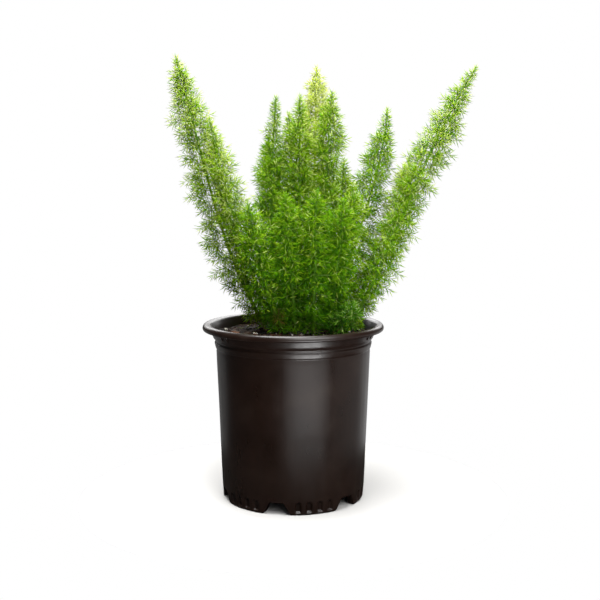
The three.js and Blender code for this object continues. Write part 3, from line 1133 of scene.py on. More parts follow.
    def floor(self) -> Skin:
        """The floor with its drain holes: in each sixth, rings spread from a hole to the edges.

        A ring's point is hole + (border - hole) v, where the border is met by a ray from the
        middle of the hole, on the sector's sides or on the floor's edge.

        Returns:
            The skin of the whole floor.
        """
        side_steps, edge_steps = 7, 15
        radius = self.foot_inner_radius + self.floor_overlap
        half = math.pi / self.feet
        corner = np.array([radius * math.sin(half), radius * math.cos(half) - self.drain_circle])
        middle = math.atan2(corner[0], corner[1])
        turns = np.concatenate(
            [
                np.linspace(0.0, middle, side_steps)[:-1],
                np.linspace(middle, math.pi, edge_steps)[:-1],
                np.linspace(math.pi, 2 * math.pi - middle, edge_steps)[:-1],
                np.linspace(2 * math.pi - middle, 2 * math.pi, side_steps)[:-1],
            ]
        )
        ray = np.stack([np.sin(turns), np.cos(turns)], axis=-1)
        along = self.drain_circle * ray[:, 1]
        to_edge = -along + np.sqrt(along**2 + radius**2 - self.drain_circle**2)
        towards = np.cos(half) * np.abs(ray[:, 0]) - np.sin(half) * ray[:, 1]
        to_side = self.drain_circle * np.sin(half) / np.maximum(towards, TINY)
        border = np.where(towards > TINY, np.minimum(to_edge, to_side), to_edge)
        shares = np.array([0.0, 0.35, 1.0])
        reach = lerp(self.drain_radius, border[None], shares[:, None])
        flat = ray[None] * reach[..., None] + [0.0, self.drain_circle]
        low, high = self.floor_underside, self.floor_top
        levels = [(flat[i], high) for i in (2, 1, 0)] + [(flat[i], low) for i in (0, 1, 2)]
        rings = [np.concatenate([xy, np.full((len(xy), 1), z)], axis=1) for xy, z in levels]
        sector = ring_shell(rings)
        edge = np.isclose(border, to_edge)
        next_edge = np.isclose(np.roll(border, -1), np.roll(to_edge, -1))
        last_ring = (len(rings) - 1) * len(turns)
        outer = ring_faces(last_ring, len(turns), 0, len(turns))[np.flatnonzero(edge & next_edge)]
        azimuths = np.radians(self.notch_azimuth + np.arange(self.feet) * 360 / self.feet)
        level = np.zeros_like(azimuths)
        out = np.stack([np.sin(azimuths), -np.cos(azimuths), level], axis=-1)[:, None]
        aside = np.stack([np.cos(azimuths), np.sin(azimuths), level], axis=-1)[:, None]
        x, y, z = (sector.points[None, :, k, None] for k in range(3))
        return repeated(aside * x + out * y + UP * z, [*sector.faces, outer])

    def build(self) -> bpy.types.Object:
        """Makes the pot's piece."""
        shell = ring_shell(self.foot_shell() + self.wall_shell(), closed=True)
        return mesh_piece(
            "nursery_pot",
            [shell, self.ribs(), self.floor()],
            MouldedPolyethylene(),
            ("pot",),
            weld=self.weld,
        )


# ------------------------------------------------------------------ soil and litter


@dataclass(frozen=True)
class PottingBed:
    """The bed of potting mix: a low mound of crumbs that fills the pot from its floor.

    Attributes are sizes in millimetres, and counts of rings and columns.
    """

    pot: NurseryPot
    edge: float = 150.2
    crown: float = 2.0
    relief: float = 0.9
    bumps: Pairs = ((0.9, 9.0), (0.7, 4.4), (1.0, 2.3), (0.35, 1.2))  # heights and widths
    bumps_sunk: float = 0.4
    gap: float = 0.2  # to the pot's inner face
    needles_off_edge: float = 2.5
    needles_off_soil: float = 0.6
    needles_off_rim: float = 1.0
    rings: int = 92
    columns: int = 288
    seed: int = 21

    @property
    def edge_radius(self) -> float:
        """Radius of the bed at its edge."""
        radii, heights = self.pot.inner_profile()[::-1].T
        return float(np.interp(self.edge, heights, radii)) - self.gap

    def level(self, x: Array, y: Array) -> Array:
        """Height of the smooth mound: a dome and crossed waves that die out at the wall.

        Args:
            x: Places to the right of the pot's axis, in millimetres.
            y: Places behind it, in millimetres.

        Returns:
            The heights, in millimetres.
        """
        share = np.minimum(1.0, np.hypot(x, y) / self.edge_radius)
        waves = np.sin(0.19 * x + 0.6) * np.cos(0.16 * y) + 0.7 * np.sin(0.31 * x - 0.27 * y)
        return self.edge + (self.crown * (1 - share**2) + self.relief * waves) * (1 - share**4)

    def surface(self, x: Array, y: Array) -> Array:
        """Height of the crumbly surface: the mound with lumps, crumbs and grit on it.

        Args:
            x: Places to the right of the pot's axis, in millimetres.
            y: Places behind it, in millimetres.

        Returns:
            The heights, in millimetres.
        """
        clods, lumps, crumbs, grit = (
            height * value_noise(x, y, width, self.seed + number)
            for number, (height, width) in enumerate(self.bumps)
        )
        return self.level(x, y) + (clods + lumps) + (np.abs(crumbs) + grit) - self.bumps_sunk

    def foot(self, place: Pair) -> Array:
        """The point of the smooth mound at a place (x, y)."""
        return np.array([*place, float(self.level(*np.array(place)))])

    def allows(self, points: Array) -> Array:
        """Whether foliage may be at each point: above the rim, or inside it and above the soil.

        Args:
            points: Places (n, 3), in millimetres.

        Returns:
            True or false for each.
        """
        x, y, z = points.T
        off_edge = np.hypot(x, y) < self.edge_radius - self.needles_off_edge
        off_soil = z > self.level(x, y) + self.needles_off_soil
        return (z > self.pot.height + self.needles_off_rim) | (off_edge & off_soil)

    def build(self) -> bpy.types.Object:
        """Makes the bed's piece: a floor, a side along the pot's wall and the crumbly top."""
        circle = level_direction(even_angles(self.columns))
        side = self.pot.inner_profile()[:1:-1] - [self.gap, -self.gap]
        rings = [side[:1, 1:] * UP]
        rings += [circle * radius + UP * height for radius, height in side]
        for share in np.linspace(1.0, 0.0, self.rings, endpoint=False):
            x, y = (circle[:, :2] * self.edge_radius * share).T
            rings.append(np.column_stack([x, y, self.surface(x, y)]))
        middle = np.zeros(1)
        rings.append(np.column_stack([middle, middle, self.surface(middle, middle)]))
        skin = ring_shell(rings)
        return mesh_piece("potting_mix_bed", [skin], PottingMix(), ("soil",))


def strewn(rng: np.random.Generator, reach: float, count: int, turns: int) -> tuple[Array, ...]:
    """Random places, spread evenly on a disc, with random turns of what lies there.

    Args:
        rng: Where the random draws come from.
        reach: Radius of the disc, in millimetres.
        count: How many places.
        turns: How many turns to each.

    Returns:
        The arrays x, y and the turns, in radians.
    """
    out = reach * np.sqrt(rng.random(count))
    around, *others = rng.uniform(0, 2 * math.pi, (1 + turns, count))
    return out * np.cos(around), out * np.sin(around), *others


@dataclass(frozen=True)
class Scatter:
    """Loose bits on the soil: rounded blocks with uneven corners, half sunk in it.

    Attributes:
        name: Name of the piece.
        count: How many.
        length: Shortest and longest, in millimetres.
        width: Width as a share of the length, least and most.
        depth: Thickness as a share of the length, least and most.
        tilt: Steepest tilt, in degrees.
        uneven: How far a corner strays, as a share of the size.
        finish: What they are made of.
        seed: Seed of their random draws.
    """

    name: str
    count: int
    length: Pair
    width: Pair
    depth: Pair
    tilt: float
    uneven: float
    finish: Finish
    seed: int

    SIDES: ClassVar[int] = 7
    WIDTHS: ClassVar[Pairs] = ((0.72, -0.5), (1.0, -0.3), (0.97, 0.28), (0.66, 0.5))  # at heights
    END: ClassVar[float] = 0.52  # height of the middle of an end
    RAISED: ClassVar[float] = 0.15  # of the middle over the soil, as a share of the thickness
    REACH: ClassVar[float] = 66.5  # of the middles from the pot's axis

    def block(self) -> Skin:
        """One block of unit size: rings that narrow to flat ends."""
        circle = level_direction(even_angles(self.SIDES)) / 2
        rings = [circle * width + UP * height for width, height in self.WIDTHS]
        return ring_shell([-self.END * UP[None], *rings, self.END * UP[None]])

    def build(self, bed: PottingBed) -> bpy.types.Object:
        """Makes the bits' piece.

        Args:
            bed: The soil that they lie on.

        Returns:
            The mesh object.
        """
        rng = np.random.default_rng(self.seed)
        block = self.block()
        length = lerp(*self.length, rng.random(self.count) ** 2)
        width = length * rng.uniform(*self.width, self.count)
        depth = length * rng.uniform(*self.depth, self.count)
        size = np.stack([length, width, depth], axis=-1)
        strays = 1 + self.uneven * rng.uniform(-1, 1, (self.count, *block.points.shape))
        uneven = block.points * strays * size[:, None]
        along, aside, up = (uneven[..., k, None] for k in range(3))
        x, y, yaw, lean = strewn(rng, self.REACH, self.count, 2)
        tilt = np.radians(self.tilt) * rng.random(self.count)
        axis = swung(UP, level_direction(lean), tilt)
        first, second = frames(axis, level_direction(yaw))
        points = first[:, None] * along + second[:, None] * aside + axis[:, None] * up
        middle = np.stack([x, y, bed.surface(x, y) + self.RAISED * depth], axis=-1)
        tone = rng.random((self.count, 1))
        skin = repeated(points + middle[:, None], block.faces, tone=tone)
        return mesh_piece(self.name, [skin], self.finish)


@dataclass(frozen=True)
class CutStem:
    """The stump of an old stem that was cut off near the soil.

    Attributes are sizes in millimetres, angles in degrees, and counts.
    """

    root: Pair = (-24.0, 1.0)
    heading: float = 170.0
    lean: float = 34.0
    radius: float = 1.7
    swelling: float = 0.22  # of the buried end, as a share of the radius
    uneven: float = 0.04  # share of the radius
    cut: Pair = (-0.7, 0.5)  # how far the cut's edge strays
    height: float = 9.0
    sunk: float = 12.0
    sides: int = 12
    stations: int = 12
    seed: int = 5

    def build(self, bed: PottingBed) -> bpy.types.Object:
        """Makes the stump's piece: a tube that swells at its foot and ends in a ragged cut.

        Args:
            bed: The soil that it stands in.

        Returns:
            The mesh object.
        """
        rng = np.random.default_rng(self.seed)
        along = swung(UP, level_direction(math.radians(self.heading)), math.radians(self.lean))
        distance = np.linspace(-self.sunk, self.height, self.stations)
        centres = bed.foot(self.root) + along * distance[:, None]
        strays = rng.uniform(-self.uneven, self.uneven, self.stations)
        radii = self.radius * (1 + self.swelling * ease(-distance / self.sunk) + strays)
        directions = np.broadcast_to(along, centres.shape)
        points, faces = tubes(centres[None], directions[None], radii[None], self.sides, blunt=True)
        points[0, -2 - self.sides : -2] += along * rng.uniform(*self.cut, (self.sides, 1))
        below_cut = 0.95  # value of the last ring; the cut's middle has 1
        share = by_ring(np.linspace(0.0, below_cut, self.stations), self.sides, (0.0, 1.0))
        skin = repeated(points, [faces], along=share)
        return mesh_piece("cut_stem_stump", [skin], DryStem(), ("cut_stem",))


# ------------------------------------------------------------------ foliage


class Rows:
    """A group of like things, held as arrays with a row to each."""

    def chosen(self, keep: Array) -> Self:
        """The ones for which keep is true."""
        return type(self)(*(getattr(self, column.name)[keep] for column in fields(self)))

    @classmethod
    def together(cls, groups: list[Self]) -> Self:
        """The rows of several groups, one group after the other."""
        names = [column.name for column in fields(cls)]
        return cls(*(np.concatenate([getattr(group, name) for group in groups]) for name in names))


@dataclass
class Needles(Rows):
    """Needles, with a row to each. A single length, width or swatch is that of all.

    Attributes:
        feet: Where they start (n, 3), in millimetres.
        directions: Unit vectors (n, 3) from foot to tip.
        lengths: Lengths (n), in millimetres.
        widths: Greatest widths (n), in millimetres.
        swatches: Places (n) on the colour scale of their finish.
    """

    feet: Array
    directions: Array
    lengths: Numbers
    widths: Numbers
    swatches: Numbers

    WIDEST_AT: ClassVar[float] = 0.42  # share of the length
    BOW: ClassVar[float] = 0.045  # of the widest part, upwards, as a share of the length

    def __post_init__(self) -> None:
        """Gives every needle its row of a value that is the same for all."""
        for name in ("lengths", "widths", "swatches"):
            setattr(self, name, np.broadcast_to(getattr(self, name), len(self.feet)))

    def places(self, share: float) -> Array:
        """Points at a share of each needle's length."""
        return self.feet + self.directions * self.lengths[:, None] * share

    def skin(self, rng: np.random.Generator) -> Skin:
        """Their skin: each a three-sided spindle, a point, a triangle at its widest and a point.

        Args:
            rng: Where the random rolls round their axes come from.

        Returns:
            The skin, with the values swatch, along and turn.
        """
        across, beside = (vectors[:, None] for vectors in frames(self.directions))
        angle = rng.uniform(0, 2 * math.pi, len(self.feet))[:, None] + even_angles(3)
        lift = UP * (self.BOW * self.lengths[:, None])
        half = self.widths[:, None, None] / 2
        waist = (self.places(self.WIDEST_AT) - lift)[:, None] + half * swung(across, beside, angle)
        points = np.concatenate([self.feet[:, None], waist, self.places(1.0)[:, None]], axis=1)
        faces = np.array([[2, 1, 0], [3, 2, 0], [1, 3, 0], [1, 2, 4], [2, 3, 4], [3, 1, 4]])
        along = np.array([[0.0, *[self.WIDEST_AT] * 3, 1.0]])
        turn = np.array([[0.5, 0.0, 0.5, 1.0, 0.5]])
        return repeated(points, [faces], swatch=self.swatches[:, None], along=along, turn=turn)


@dataclass
class Twigs(Rows):
    """Twigs, with a row to each.

    A twig's point at a distance d is foot + start d + rise bow length (d / length)^2.

    Attributes:
        feet: Where they start (n, 3), in millimetres.
        starts: Unit vectors (n, 3) at their feet.
        rises: Unit vectors (n, 3) that they bow away from.
        lengths: Lengths (n), in millimetres.
        heights: Where each stands on the plume, as a share of its length.
        dry: Whether each has dried.
    """

    feet: Array
    starts: Array
    rises: Array
    lengths: Array
    heights: Array
    dry: Array

    BOW: ClassVar[float] = -0.10  # share of the length

    def points(self, row: Array, distance: Array) -> tuple[Array, Array]:
        """Places and unit directions along the twigs.

        Args:
            row: Rows of the twigs, of any shape.
            distance: Distances along them in the same shape, in millimetres.

        Returns:
            The places and the directions, each (..., 3).
        """
        share = (distance / self.lengths[row])[..., None]
        start, rise = self.starts[row], self.rises[row]
        lift = self.BOW * self.lengths[row][..., None] * share**2
        places = self.feet[row] + start * distance[..., None] + rise * lift
        return places, unit(start + rise * 2 * self.BOW * share)

    def ends(self) -> Array:
        """The points at their far ends."""
        return self.points(np.arange(len(self.lengths)), self.lengths)[0]


@dataclass(frozen=True)
class Habit:
    """How twigs and needles grow on a plume. Lengths in millimetres, angles in degrees.

    A pair gives the value at the foot and at the tip of what it belongs to, a range the
    least and the greatest of random ones, and a stray how far they lie from the rule.
    """

    girth_at_foot: float = 0.5  # share of the widest
    foot_share: float = 0.28  # of the length, where the plume widens
    tip_power: float = 0.6  # of the narrowing; less is blunter
    girth_loss: float = 0.24  # share lost from foot to tip
    least_needle: float = 0.5  # share of the needle length, where the plume is thinnest
    full_needle_at: float = 0.6  # share of the girth
    first_twig: float = 4.0
    last_twig: float = 5.0  # below the tip
    twig_pitch: float = 1.8
    crowding: float = 0.22  # how much closer the twigs stand towards the tip
    twig_stray: float = 0.8
    twig_lean: Pair = (94.0, 62.0)
    twig_lean_stray: float = 9.0
    twig_range: Pair = (0.76, 1.2)  # of the outline
    overhang: float = 0.33  # share of a needle's length that lies past its twig's end
    shortest_twig: float = 2.0
    twig_radii: Pair = (0.45, 0.22)
    forked_from: float = 6.0  # length of the shortest twig that branches
    fork_at: float = 0.34  # share of the twig's length
    fork_stray: float = 0.08
    fork_angle: float = 48.0
    fork_angle_stray: float = 10.0
    fork_roll_stray: float = 0.9  # radians
    fork_range: Pair = (0.7, 0.98)  # of what is left of the twig
    bare: Pair = (0.22, 0.12)  # shares of a main and of a side twig
    node_pitch: float = 1.5
    node_turn: float = 1.1  # radians
    roll_stray: float = 0.5  # radians
    needles_at_node: int = 3
    needle_length: float = 10.1
    needle_range: Pair = (0.82, 1.12)
    needle_width: float = 0.8
    width_range: Pair = (0.85, 1.15)
    shortening: float = 0.18  # of needles towards a twig's end
    openness: Pair = (72.0, 50.0)
    openness_stray: float = 9.0
    openness_range: Pair = (4.0, 85.0)
    droop: float = 0.05
    tuft: int = 3
    tuft_turn: float = 2.4  # radians
    tuft_roll_stray: float = 0.4  # radians
    tuft_openness: float = 12.0
    tuft_opening: float = 9.0  # more for each next needle
    tuft_openness_stray: float = 6.0
    tuft_needle: float = 0.78  # share of the needle length
    stem_radii: Pair = (1.7, 0.6)
    crown: float = 30.0
    crown_share: float = 0.45  # most of the plume's length
    crown_pitch: float = 0.30
    crown_openness: Pair = (84.0, 34.0)
    crown_openness_stray: float = 12.0
    crown_range: Pair = (0.8, 1.05)
    crown_width: float = 0.9  # share of the needle width
    crown_outness: float = 0.4


AIRY = Habit(node_pitch=1.65)


@dataclass(frozen=True)
class Plume:
    """One leafy stem, a bottle brush of twigs and needles round a leaning axis.

    Attributes:
        name: Name of the CAD node that it stands for.
        root: Where the stem leaves the soil, in millimetres from the pot's axis.
        heading: Heading that it leans to, in degrees from +X towards the back.
        lean: Degrees off the vertical at the root, halfway and at the tip.
        length: Length above the soil, in millimetres.
        girth: Widest radius, in millimetres.
        slot: The record's slot for its needles.
        shade: Shift of its needles on the colour scale, up being paler; partly the plume's
        own tone and partly painted light, lowered on the dense front plumes as painted
        shade and raised on the outer ones as painted light.
        dry: Share of its lowest twigs that have dried.
        taper: Share of the length over which it narrows to its tip.
        habit: How its twigs and needles grow.
    """

    name: str
    root: Pair
    heading: float
    lean: Triple
    length: float
    girth: float
    slot: Slot = Slot.GREEN
    shade: float = 0.0
    dry: float = 0.0
    taper: float = 0.2
    habit: Habit = Habit()

    def build(self, bed: PottingBed, seed: int) -> bpy.types.Object:
        """Makes the plume's piece.

        Args:
            bed: The soil that it grows from, inside its pot.
            seed: Seed of its random draws.

        Returns:
            The mesh object.
        """
        growth = Growth(self, self.habit, bed, np.random.default_rng(seed))
        return foliage_piece(f"{self.name}_foliage", growth.skins(), self.slot, (self.name,))


@dataclass(frozen=True)
class Growth:
    """A plume as it grows.

    Attributes:
        plume: Its sizes.
        habit: How its twigs and needles grow.
        bed: The soil that it grows from, inside its pot.
        rng: Where its random draws come from.
    """

    plume: Plume
    habit: Habit
    bed: PottingBed
    rng: np.random.Generator

    SUNK: ClassVar[float] = 14.0
    DRY_BELOW: ClassVar[float] = 34.0  # millimetres above the soil
    SCALES_BELOW: ClassVar[float] = 0.45  # share of the length; further up they are green
    SPUR: ClassVar[Pair] = (2.6, 0.8)  # length and width
    SPUR_BEND: ClassVar[float] = 1.1  # downwards, to one part of the twig's direction
    SHEATH: ClassVar[int] = 6  # scales round the root
    SHEATH_FROM_TO: ClassVar[Pair] = (0.5, 7.0)  # along the stem
    SHEATH_LENGTHS: ClassVar[Pair] = (4.5, 7.0)
    SHEATH_WIDTH: ClassVar[float] = 1.7
    SHEATH_OUT: ClassVar[float] = 0.7  # share of the stem's radius
    SHEATH_OPENING: ClassVar[float] = 0.25  # outwards, to one part along the stem
    STEM_STEP: ClassVar[float] = 3.5
    STEM_STATIONS: ClassVar[int] = 12  # at least
    SWELLING: ClassVar[float] = 0.07  # share of the stem's radius
    SWELLING_TURN: ClassVar[float] = 1.9  # radians to the millimetre
    STEM_SIDES: ClassVar[int] = 8
    TWIG_SIDES: ClassVar[int] = 3
    TWIG_STATIONS: ClassVar[int] = 4

    def strays(self, most: float, count: int) -> Array:
        """Random values from -most to most."""
        return self.rng.uniform(-most, most, count)

    def axis(self, distance: Array) -> tuple[Array, Array]:
        """Places and unit directions along the stem.

        The lean is the parabola through its three values, and the places are the sum of the
        directions in steps of a millimetre.

        Args:
            distance: Distances (n) above the soil along the stem, in millimetres.

        Returns:
            The places and the directions, each (n, 3).
        """
        plume = self.plume
        steps = np.arange(0.0, plume.length + 1.0)
        share = (steps[:-1] + 0.5) / plume.length
        at_root, halfway, at_tip = plume.lean
        bend = 2 * (at_root + at_tip - 2 * halfway)
        lean = at_root + (at_tip - at_root - bend) * share + bend * share**2
        moves = swung(UP, level_direction(math.radians(plume.heading)), np.radians(lean))
        line = np.concatenate([np.zeros((1, 3)), np.cumsum(moves, axis=0)])
        line = self.bed.foot(plume.root) + line
        below = np.minimum(distance, 0.0)[:, None] * moves[0]
        held = np.clip(distance, 0.0, plume.length)
        places = np.stack([np.interp(held, steps, line[:, k]) for k in range(3)], axis=-1)
        nearest = np.clip(held.astype(int), 0, len(moves) - 1)
        return places + below, moves[nearest]

    def outline(self, share: Array) -> Array:
        """Radius of the plume: a slow taper, times a foot's rise and a tip's fall.

        Args:
            share: Shares of its length.

        Returns:
            The radius at each, in millimetres.
        """
        habit = self.habit
        foot = lerp(habit.girth_at_foot, 1.0, ease(share / habit.foot_share))
        tip = np.clip((1 - share) / self.plume.taper, 0.0, 1.0) ** habit.tip_power
        return self.plume.girth * foot * tip * (1 - habit.girth_loss * share)

    def needle_share(self, share: Array) -> Array:
        """Needle length as a share of the full one: less where the plume is thinner."""
        wide = self.outline(share) / self.plume.girth
        return lerp(self.habit.least_needle, 1.0, np.minimum(1.0, wide / self.habit.full_needle_at))

    def main_twigs(self) -> Twigs:
        """The twigs that grow from the stem, in a spiral of golden angles.

        Each is long enough to bring the tips of its needles to the outline.

        Returns:
            The twigs that leave the pot and the soil free.
        """
        plume, habit = self.plume, self.habit
        last = plume.length - habit.last_twig
        count = int((last - habit.first_twig) / habit.twig_pitch)
        rise = np.linspace(0.0, 1.0, count)
        crowded = rise * (1 + habit.crowding - habit.crowding * rise)
        distance = lerp(habit.first_twig, last, crowded) + self.strays(habit.twig_stray, count)
        share = distance / plume.length
        places, along = self.axis(distance)
        aside = level_direction(math.radians(plume.heading + 90))
        spiral = np.arange(count) * GOLDEN_ANGLE
        phase = plume.heading  # any number does, as long as plumes that stand close differ
        turn = spiral + self.strays(habit.roll_stray, count) + phase
        outward = swung(aside, np.cross(along, aside), turn)
        strays = self.strays(habit.twig_lean_stray, count)
        lean = np.radians(lerp(*habit.twig_lean, share) + strays)
        reach = self.outline(share) * self.rng.uniform(*habit.twig_range, count)
        reach = reach - habit.overhang * habit.needle_length
        lengths = np.maximum(reach / np.sin(lean), habit.shortest_twig)
        dry = (self.rng.random(count) < plume.dry) & (distance < self.DRY_BELOW)
        twigs = Twigs(places, swung(along, outward, lean), along, lengths, share, dry)
        return twigs.chosen(self.bed.allows(twigs.ends()))

    def side_twigs(self, main: Twigs) -> Twigs:
        """The twigs that branch from the longer main ones, one from each.

        Args:
            main: The main twigs.

        Returns:
            The side twigs that leave the pot and the soil free.
        """
        habit = self.habit
        main = main.chosen(main.lengths > habit.forked_from)
        count = len(main.lengths)
        distance = main.lengths * (habit.fork_at + self.strays(habit.fork_stray, count))
        feet, along = main.points(np.arange(count), distance)
        branch = swung(*frames(along, main.rises), self.strays(habit.fork_roll_stray, count))
        spread = np.radians(habit.fork_angle + self.strays(habit.fork_angle_stray, count))
        starts = swung(along, branch, spread)
        lengths = (main.lengths - distance) * self.rng.uniform(*habit.fork_range, count)
        twigs = Twigs(feet, starts, main.rises, lengths, main.heights, main.dry)
        return twigs.chosen(self.bed.allows(twigs.ends()))

    def swatches(self, height: Array, outness: Numbers, dry: Array) -> Array:
        """Places on the colour scale: paler upwards and outwards, and brown where dry.

        Paler upwards and outwards is partly the plant's own older and younger needles and
        partly painted light: needles low and inside the plume get painted shade, and those
        at its top and outside painted light.

        Args:
            height: Shares of the plume's length.
            outness: Distances along the twig as shares of the girth.
            dry: Whether the twig has dried.

        Returns:
            The place of each needle.
        """
        count = len(height)
        strays = self.rng.normal(0, Cladodes.STRAY, count)
        at_foot, upwards, outwards = Cladodes.PALENESS
        # painted light: paler towards the top and outside of the plume, deeper low and inside as
        # painted shade, shifted by the plume's own value
        living = at_foot + upwards * height + outwards * outness + self.plume.shade + strays
        dried = Cladodes.dried(self.rng.random(count))
        browned = dry & (self.rng.random(count) < Cladodes.BROWNED)
        return np.where(browned, dried, np.clip(living, *Cladodes.LIVING))

    def whorls(self, twigs: Twigs, bare: float) -> tuple[Array, ...]:
        """Where needles grow in whorls along twigs, from the end of a bare foot.

        Args:
            twigs: The twigs.
            bare: Share of their length that is bare.

        Returns:
            For each needle the row of its twig, the distance along it, the roll round it in
            radians, the angle to it in degrees and the share of the full needle length.
        """
        habit = self.habit
        first = twigs.lengths * bare
        counts = np.maximum(1, ((twigs.lengths - first) / habit.node_pitch).astype(int))
        row = np.repeat(np.arange(len(counts)), counts)
        order = np.arange(len(row)) - np.repeat(np.cumsum(counts) - counts, counts)
        row, order = (np.repeat(held, habit.needles_at_node) for held in (row, order))
        distance = first[row] + order * habit.node_pitch
        side = np.arange(len(row)) % habit.needles_at_node
        roll = side * 2 * math.pi / habit.needles_at_node + order * habit.node_turn
        roll = roll + self.strays(habit.roll_stray, len(row))
        share = distance / twigs.lengths[row]
        strays = self.rng.normal(0, habit.openness_stray, len(row))
        openness = lerp(*habit.openness, share) + strays
        return row, distance, roll, openness, 1.0 - habit.shortening * share**2

    def tufts(self, twigs: Twigs) -> tuple[Array, ...]:
        """Where needles grow in tufts at the ends of twigs.

        Args:
            twigs: The twigs.

        Returns:
            For each needle the same five as for those in whorls.
        """
        habit = self.habit
        row = np.repeat(np.arange(len(twigs.lengths)), habit.tuft)
        side = np.arange(len(row)) % habit.tuft
        roll = side * habit.tuft_turn + self.strays(habit.tuft_roll_stray, len(row))
        openness = habit.tuft_openness + habit.tuft_opening * side
        openness = openness + self.rng.normal(0, habit.tuft_openness_stray, len(row))
        return row, twigs.lengths[row], roll, openness, np.full(len(row), habit.tuft_needle)

    def twig_needles(self, twigs: Twigs, bare: float) -> Needles:
        """Whorls of needles along each twig past its bare foot, and a tuft at its end.

        Args:
            twigs: The twigs.
            bare: Share of their length that is bare.

        Returns:
            The needles.
        """
        habit = self.habit
        groups = zip(self.whorls(twigs, bare), self.tufts(twigs))
        row, distance, roll, openness, size = (np.concatenate(pair) for pair in groups)
        feet, along = twigs.points(row, distance)
        outward = swung(*frames(along), roll)
        opened = swung(along, outward, np.radians(np.clip(openness, *habit.openness_range)))
        directions = unit(opened - habit.droop * twigs.rises[row])
        height = twigs.heights[row]
        lengths = habit.needle_length * size * self.needle_share(height)
        lengths = lengths * self.rng.uniform(*habit.needle_range, len(row))
        widths = habit.needle_width * self.rng.uniform(*habit.width_range, len(row))
        swatches = self.swatches(height, distance / self.plume.girth, twigs.dry[row])
        return Needles(feet, directions, lengths, widths, swatches)

    def spiral(self, distance: Array) -> tuple[Array, Array, Array]:
        """Places on the stem, unit vectors along it and unit vectors out in golden angles."""
        feet, along = self.axis(distance)
        return feet, along, swung(*frames(along), np.arange(len(distance)) * GOLDEN_ANGLE)

    def crown_needles(self) -> Needles:
        """Needles that grow from the stem's own top end, drawn together at the tip."""
        habit = self.habit
        crown = min(habit.crown, habit.crown_share * self.plume.length)
        count = int(crown / habit.crown_pitch)
        rise = np.linspace(0.0, 1.0, count)
        distance = self.plume.length - crown * (1 - rise)
        feet, along, outward = self.spiral(distance)
        strays = self.rng.normal(0, habit.crown_openness_stray, count)
        openness = np.radians(lerp(*habit.crown_openness, rise**3) + strays)
        height = distance / self.plume.length
        lengths = habit.needle_length * self.needle_share(height)
        lengths = lengths * self.rng.uniform(*habit.crown_range, count)
        swatches = self.swatches(height, habit.crown_outness, np.zeros(count, dtype=bool))
        width = habit.needle_width * habit.crown_width
        return Needles(feet, swung(along, outward, openness), lengths, width, swatches)

    def scales(self, main: Twigs) -> Needles:
        """Papery brown scales: a spur under each of the lower twigs and a few round the root.

        Args:
            main: The main twigs.

        Returns:
            The scales, shaped like needles.
        """
        main = main.chosen(main.heights < self.SCALES_BELOW)
        bent = unit(main.starts - self.SPUR_BEND * main.rises)
        spurs = Needles(main.feet, bent, *self.SPUR, Cladodes.SPUR)
        feet, along, outward = self.spiral(np.linspace(*self.SHEATH_FROM_TO, self.SHEATH))
        sheath = Needles(
            feet + outward * self.habit.stem_radii[0] * self.SHEATH_OUT,
            unit(along + self.SHEATH_OPENING * outward),
            self.rng.uniform(*self.SHEATH_LENGTHS, self.SHEATH),
            self.SHEATH_WIDTH,
            Cladodes.SHEATH,
        )
        return Needles.together([spurs, sheath])

    def leaves(self, main: Twigs, side: Twigs) -> Needles:
        """All needles and scales that leave the pot, the soil and the plant's edges free.

        Args:
            main: The main twigs.
            side: The side twigs.

        Returns:
            The needles and scales.
        """
        main_bare, side_bare = self.habit.bare
        grown = [self.twig_needles(main, main_bare), self.twig_needles(side, side_bare)]
        needles = Needles.together([*grown, self.crown_needles(), self.scales(main)])
        tips, middles = needles.places(1.0), needles.places(0.5)
        free = self.bed.allows(tips) & self.bed.allows(middles)
        return needles.chosen(free & within_spread(tips))

    def stem(self) -> Skin:
        """The stem: a tapering tube that swells slightly every three millimetres or so."""
        length = self.plume.length
        stations = max(self.STEM_STATIONS, int(length / self.STEM_STEP))
        distance = np.linspace(-self.SUNK, length, stations)
        centres, directions = self.axis(distance)
        share = np.clip(distance / length, 0.0, 1.0)
        swelling = self.SWELLING * np.sin(distance * self.SWELLING_TURN)
        radii = lerp(*self.habit.stem_radii, share) * (1 + swelling)
        line = (centres[None], directions[None])
        return stalks(line, radii[None], share, self.STEM_SIDES, np.array([[Cladodes.STEM]]))

    def twig_skin(self, twigs: Twigs) -> Skin:
        """The twigs' own skin: thin three-sided tubes.

        Args:
            twigs: The twigs.

        Returns:
            The skin.
        """
        share = np.linspace(0.0, 1.0, self.TWIG_STATIONS)
        distance = twigs.lengths[:, None] * share
        row = np.broadcast_to(np.arange(len(distance))[:, None], distance.shape)
        radii = np.broadcast_to(lerp(*self.habit.twig_radii, share), row.shape)
        swatch = np.where(twigs.dry, Cladodes.DRY_TWIG, Cladodes.TWIG)[:, None]
        return stalks(twigs.points(row, distance), radii, share, self.TWIG_SIDES, swatch)

    def skins(self) -> list[Skin]:
        """The skins of the leaves, the stem and the twigs."""
        main = self.main_twigs()
        side = self.side_twigs(main)
        leaves = self.leaves(main, side).skin(self.rng)
        return [leaves, self.stem(), self.twig_skin(Twigs.together([main, side]))]


